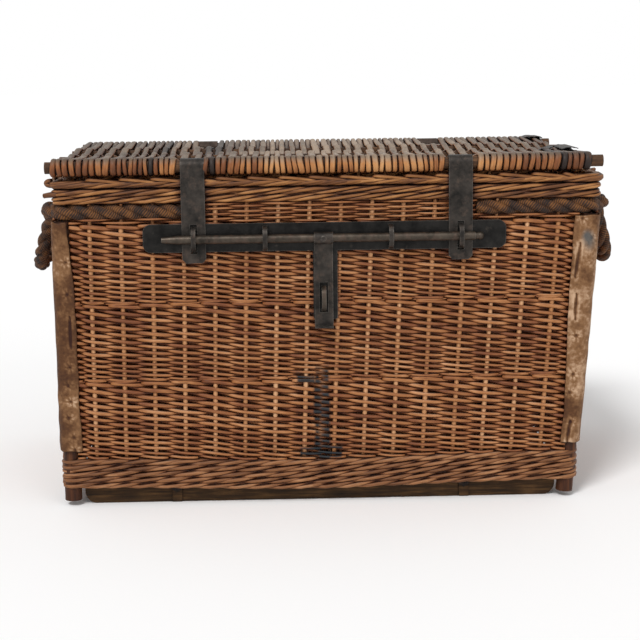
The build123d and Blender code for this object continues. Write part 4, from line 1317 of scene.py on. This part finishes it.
def hide_sheet(name, layers, columns, flip, tone, stain, body, replaced):
    """A closed sheet of rawhide between two grids of points, front and back, row by row. In the
    UV, U is how stained it is."""
    count = len(layers[0])
    cells = np.arange(count).reshape(-1, columns)
    quads = [cells[:-1, :-1], cells[:-1, 1:], cells[1:, 1:], cells[1:, :-1]]
    quads = np.stack(quads, 2).reshape(-1, 4)
    rim = np.concatenate([cells[0, :-1], cells[:-1, -1], cells[-1, :0:-1], cells[:0:-1, 0]])
    edge_quads = np.stack([rim, rim + count, np.roll(rim, -1) + count, np.roll(rim, -1)], 1)
    faces = np.concatenate([quads, quads[:, ::-1] + count, edge_quads])
    faces = faces[:, ::-1] if flip else faces
    corners = faces.ravel()
    stain = np.concatenate([stain, stain])[corners]
    uv = np.stack([stain, np.zeros_like(stain)], 1)
    tone = np.concatenate([tone, np.full(count, 0.4)])
    points = np.concatenate(layers)
    starts = np.arange(len(faces)) * 4
    finish_mesh(name, points, corners, starts, uv, tone, rawhide, body, "rawhide", [replaced])


def hide_corner(corner, side, end, grid):
    """A sheet of rawhide shrunk round a corner: uneven edges, thick enough to show its rim. It
    runs from the front or rear arm round the bend to the side arm."""
    name = f"corner_hide_{corner}"
    marks = HIDES[corner]
    cad = mesh_points(name)
    z_low, z_high = cad[:, 2].min(), cad[:, 2].max()
    foot = cad[cad[:, 2] < z_low + MM]
    head = cad[cad[:, 2] > z_high - MM]
    out_x = side * max(side * foot[:, 0])
    out_y = end * max(end * foot[:, 1])
    lean = (side * max(side * head[:, 0]) - out_x) / (z_high - z_low)
    flat = HIDE_ARM - HIDE_BEND
    turn = HIDE_BEND * math.pi / 2
    columns = round((2 * flat + turn) / grid)
    rows = round((z_high - z_low) / grid)
    seed = 40 + 3 * side + end
    u, v = np.meshgrid(np.linspace(0, 1, columns), np.linspace(0, 1, rows))
    z = z_low + (z_high - z_low) * v
    ragged = HIDE_RAGGED[0] * (1 + smooth_noise(u, 0.12, seed))
    z = z + ragged * (np.clip(1 - v / 0.1, 0, 1) - np.clip(1 - (1 - v) / 0.1, 0, 1))
    heights, widths = np.array(marks["arm"]).T * MM
    front_arm = np.interp(z, heights, widths) + HIDE_RAGGED[1] * smooth_noise(z, 0.021, seed + 1)
    side_arm = HIDE_SIDE_ARM + HIDE_RAGGED[2] * smooth_noise(z, 0.03, seed + 2)
    start = HIDE_ARM - np.minimum(front_arm, HIDE_ARM)
    stop = 2 * flat + turn - HIDE_ARM + side_arm
    run = start + (stop - start) * u
    depth, tone, stain = hide_marks(HIDE_ARM - run, z, marks)
    tone = tone + 0.18 * smooth_noise(z + 0.4 * run, 0.045, seed + 5)
    (long_height, long_wave), (short_height, short_wave) = HIDE_SWELLS
    swell = long_height * smooth_noise(z + run * 0.3, long_wave, seed + 3)
    swell = swell + short_height * smooth_noise(run + z * 0.15, short_wave, seed + 4)
    curl = HIDE_CURL[0] * fading(np.minimum(run - start, stop - run), HIDE_CURL[1])
    inset = HIDE_INSET - swell + np.clip(depth, -0.4 * MM, SLIT_DEPTH) + curl
    layers = []
    for gap in (np.clip(inset, 0, 3 * MM), np.full_like(inset, HIDE_INSET + HIDE_THICK)):
        angle = np.clip((run - flat) / HIDE_BEND, 0, math.pi / 2)
        radius = HIDE_BEND - gap
        x = np.where(run < flat, HIDE_ARM - run, HIDE_BEND - radius * np.sin(angle))
        x = np.where(run > flat + turn, gap, x)
        y = np.where(run < flat, gap, HIDE_BEND - radius * np.cos(angle))
        y = np.where(run > flat + turn, HIDE_BEND + run - flat - turn, y)
        out = out_x - side * x + lean * (z - z_low)
        layers.append(np.stack([out, out_y - end * y, z], 2).reshape(-1, 3))
    flip = side * end < 0
    sheet_name = f"rawhide_corner_{corner}"
    hide_sheet(sheet_name, layers, columns, flip, tone.ravel(), stain.ravel(), "trunk", name)


# A patch's grid, its thickness, how far its edges wander and bend down, how deep it sinks
# between two rods and along them, and the lengths of its sinks, its wanderings and its edge
PATCH_GRID = 3.2 * MM
PATCH_THICK = 1.3 * MM
PATCH_RAGGED = 1.6 * MM
PATCH_EDGE_DROP = 2.4 * MM
PATCH_SINKS = (0.5 * MM, 0.4 * MM)
PATCH_SINK_LENGTH = 13 * MM
PATCH_RAGGED_LENGTH = 9 * MM
PATCH_EDGE = 4 * MM


def lid_patch(name):
    """A scrap of rawhide lying over the lid's rods, at the height that they have there."""
    low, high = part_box(name)
    columns = round((high.x - low.x) / PATCH_GRID)
    rows = round((high.y - low.y) / PATCH_GRID)
    u, v = np.meshgrid(np.linspace(0, 1, columns), np.linspace(0, 1, rows))
    x = low.x + (high.x - low.x) * u
    y = low.y + (high.y - low.y) * v
    x = x + PATCH_RAGGED * smooth_noise(y, PATCH_RAGGED_LENGTH, 71) * (2 * u - 1)
    y = y + PATCH_RAGGED * smooth_noise(x, PATCH_RAGGED_LENGTH, 72) * (2 * v - 1)
    half_gap = (inner_rows[-1] - inner_rows[0]) / 2
    to_stick = half_gap - abs(y - (inner_rows[-1] + inner_rows[0]) / 2)
    raised = np.interp(to_stick, [0, 11 * MM, 26 * MM, half_gap], [1, 0.93, 0.62, 0])
    rods_top = stick_z + 2 * ROD_THICK + (INNER_STICK + ROD_THICK) * raised
    top = np.minimum(high.z + 1.8 * MM, rods_top + 2 * MM)
    rim = np.minimum(u, 1 - u) * (high.x - low.x)
    drop = PATCH_SINKS[0] * (1 + smooth_noise(x + 0.3 * y, LID_PITCH / 2, 73))
    drop += PATCH_SINKS[1] * (1 + smooth_noise(y - 0.2 * x, PATCH_SINK_LENGTH, 74))
    drop += PATCH_EDGE_DROP * fading(rim, PATCH_EDGE)
    layers = [np.stack([x, y, top - drop - gap], 2).reshape(-1, 3) for gap in (0, PATCH_THICK)]
    tone = np.full(rows * columns, 0.2)
    stain = np.full(rows * columns, 1.2)
    sheet_name = name.replace("patch", "patch_sheet")
    hide_sheet(sheet_name, layers, columns, False, tone, stain, "lid", name)


hide_corner("front_left", -1, -1, 2.6 * MM)
hide_corner("front_right", 1, -1, 2.6 * MM)
hide_corner("rear_left", -1, 1, 4.5 * MM)
hide_corner("rear_right", 1, 1, 4.5 * MM)
lid_patch("lid_patch_corner")
lid_patch("lid_patch_side")


# Lashings: split cane fanned out over the upper edge of each runner
FAN_STRIPS = 7
# Half the width of a fan at its top and at its knot, in mm, how far a strip goes in over the
# edge, and a strip's half width and half thickness
FAN_TOP = 12
FAN_KNOT = 6
OVER_EDGE = 9 * MM
STRIP_HALF_WIDTH = 1.5 * MM
STRIP_HALF_THICK = 0.7 * MM


def cane_lashings():
    """A fan of flat strips on the outer face at each lashing of the CAD."""
    points = mesh_points("runner_lashings")
    rods = []
    for end in (-1, 1):
        face = points[end * points[:, 1] > 0]
        face_y = end * (end * face[:, 1]).max()
        xs = np.sort(face[:, 0])
        groups = np.split(xs, np.flatnonzero(np.diff(xs) > 30 * MM) + 1)
        low, high = face[:, 2].min(), face[:, 2].max()
        for group in groups:
            middle = (group.min() + group.max()) / 2
            for place in np.linspace(-1, 1, FAN_STRIPS):
                head_x = middle + place * FAN_TOP * MM
                head = np.array([head_x, face_y + end * 0.2 * MM, high + 1 * MM])
                knot_x = middle + place * FAN_KNOT * MM
                knot_z = 0.45 * low + 0.55 * high + 4 * MM * abs(place)
                knot = np.array([knot_x, face_y + end * 0.4 * MM, knot_z])
                path = head + (knot - head) * np.linspace(0, 1, 5)[:, None]
                over_edge = head - np.array([0, end * OVER_EDGE, -0.5 * MM])
                into_knot = knot - np.array([0, end * 2 * MM, 0])
                path = np.concatenate([[over_edge], path, [into_knot]])
                radii = np.full((2, len(path)), [[STRIP_HALF_WIDTH], [STRIP_HALF_THICK]])
                rods.append((path, radii, TO_RIGHT, rng.uniform(0, 1)))
    return rods


rod_piece("cane_lashing_fans", cane_lashings(), cane, "trunk", "cane_lashing")


# Finishes of the CAD nodes that are still shown

# The material and how many mm of the edges are worn round. A node takes those of the longest
# key that its name starts or ends with
FINISHES = {
    "base_sticks": (hazel, 0),
    "lid_stick": (hazel, 0.8),
    "lid_inner_sticks": (hazel, 0.8),
    "corner_post": (ash, 1.5),
    "runner_front": (elm, 2.0),
    "runner_rear": (elm, 2.0),
    "runner_lashings": (elm, 0.8),
    "lock_plate": (plate_iron, 0.5),
    "lock_bar": (bar_iron, 0.5),
    "hasp_": (forged_iron, 0.5),
    "lock_hasp": (forged_iron, 0.5),
    "guide_staple": (forged_iron, 0.9),
    "padlock_staple": (bar_iron, 0.9),
    "hinge_": (hinge_iron, 0.5),
}
for name, carried in nodes.items():
    if carried.hide_render:
        continue
    found = [key for key in FINISHES if name.startswith(key) or name.endswith(key)]
    material, bevel_mm = FINISHES[max(found, key=len)]
    carried.data.materials.clear()
    carried.data.materials.append(material)
    if bevel_mm:
        bevel = carried.modifiers.new("worn_edge", "BEVEL")
        bevel.width = bevel_mm * MM
        bevel.segments = 2
        bevel.limit_method = "ANGLE"
        bevel.angle_limit = math.radians(35)


# Floor, sky and light: the floor is 60 m wide, so that its edge is out of sight
FLOOR_HALF = 30
SKY_LIGHT = 0.55
floor_mesh = bpy.data.meshes.new("floor")
floor_corners = [(x * FLOOR_HALF, y * FLOOR_HALF, 0) for x, y in ((-1, -1), (1, -1), (1, 1), (-1, 1))]
floor_mesh.from_pydata(floor_corners, [], [(0, 1, 2, 3)])
floor = bpy.data.objects.new("floor", floor_mesh)
scene.collection.objects.link(floor)
paper, tree = new_material("studio_paper")
plain = node(tree, "BsdfDiffuse", {"Color": srgb("ffffff")}).outputs[0]
node(tree, "OutputMaterial", {"Surface": plain})
floor_mesh.materials.append(paper)

# The sky is white to the camera and in reflections, and lights the trunk less than that
world = bpy.data.worlds.new("studio")
scene.world = world
world.use_nodes = True
tree = world.node_tree
tree.nodes.clear()
rays = node(tree, "LightPath").outputs
seen = rays["Is Camera Ray"]
for kind in ("Is Glossy Ray", "Is Transmission Ray"):
    seen = node(tree, "Math", {0: seen, 1: rays[kind]}, operation="MAXIMUM").outputs[0]
strength = node(
    tree, "MapRange", {"Value": seen, "To Min": SKY_LIGHT, "To Max": 1.0}
).outputs["Result"]
sky = node(tree, "Background", {"Color": srgb("ffffff"), "Strength": strength}).outputs[0]
node(tree, "OutputWorld", {"Surface": sky})


def sun(name, bearing, height, strength, softness):
    """A sun from a bearing (degrees from the front, to the right) and a height above level."""
    data = bpy.data.lights.new(name, "SUN")
    data.energy = strength
    data.angle = math.radians(softness)
    made = bpy.data.objects.new(name, data)
    scene.collection.objects.link(made)
    a, b = math.radians(bearing), math.radians(height)
    came_from = Vector((math.sin(a) * math.cos(b), -math.cos(a) * math.cos(b), math.sin(b)))
    made.rotation_mode = "QUATERNION"
    made.rotation_quaternion = came_from.to_track_quat("Z", "Y")


sun("key", -28, 50, 1.75, 18)
sun("fill", 35, 22, 0.35, 30)
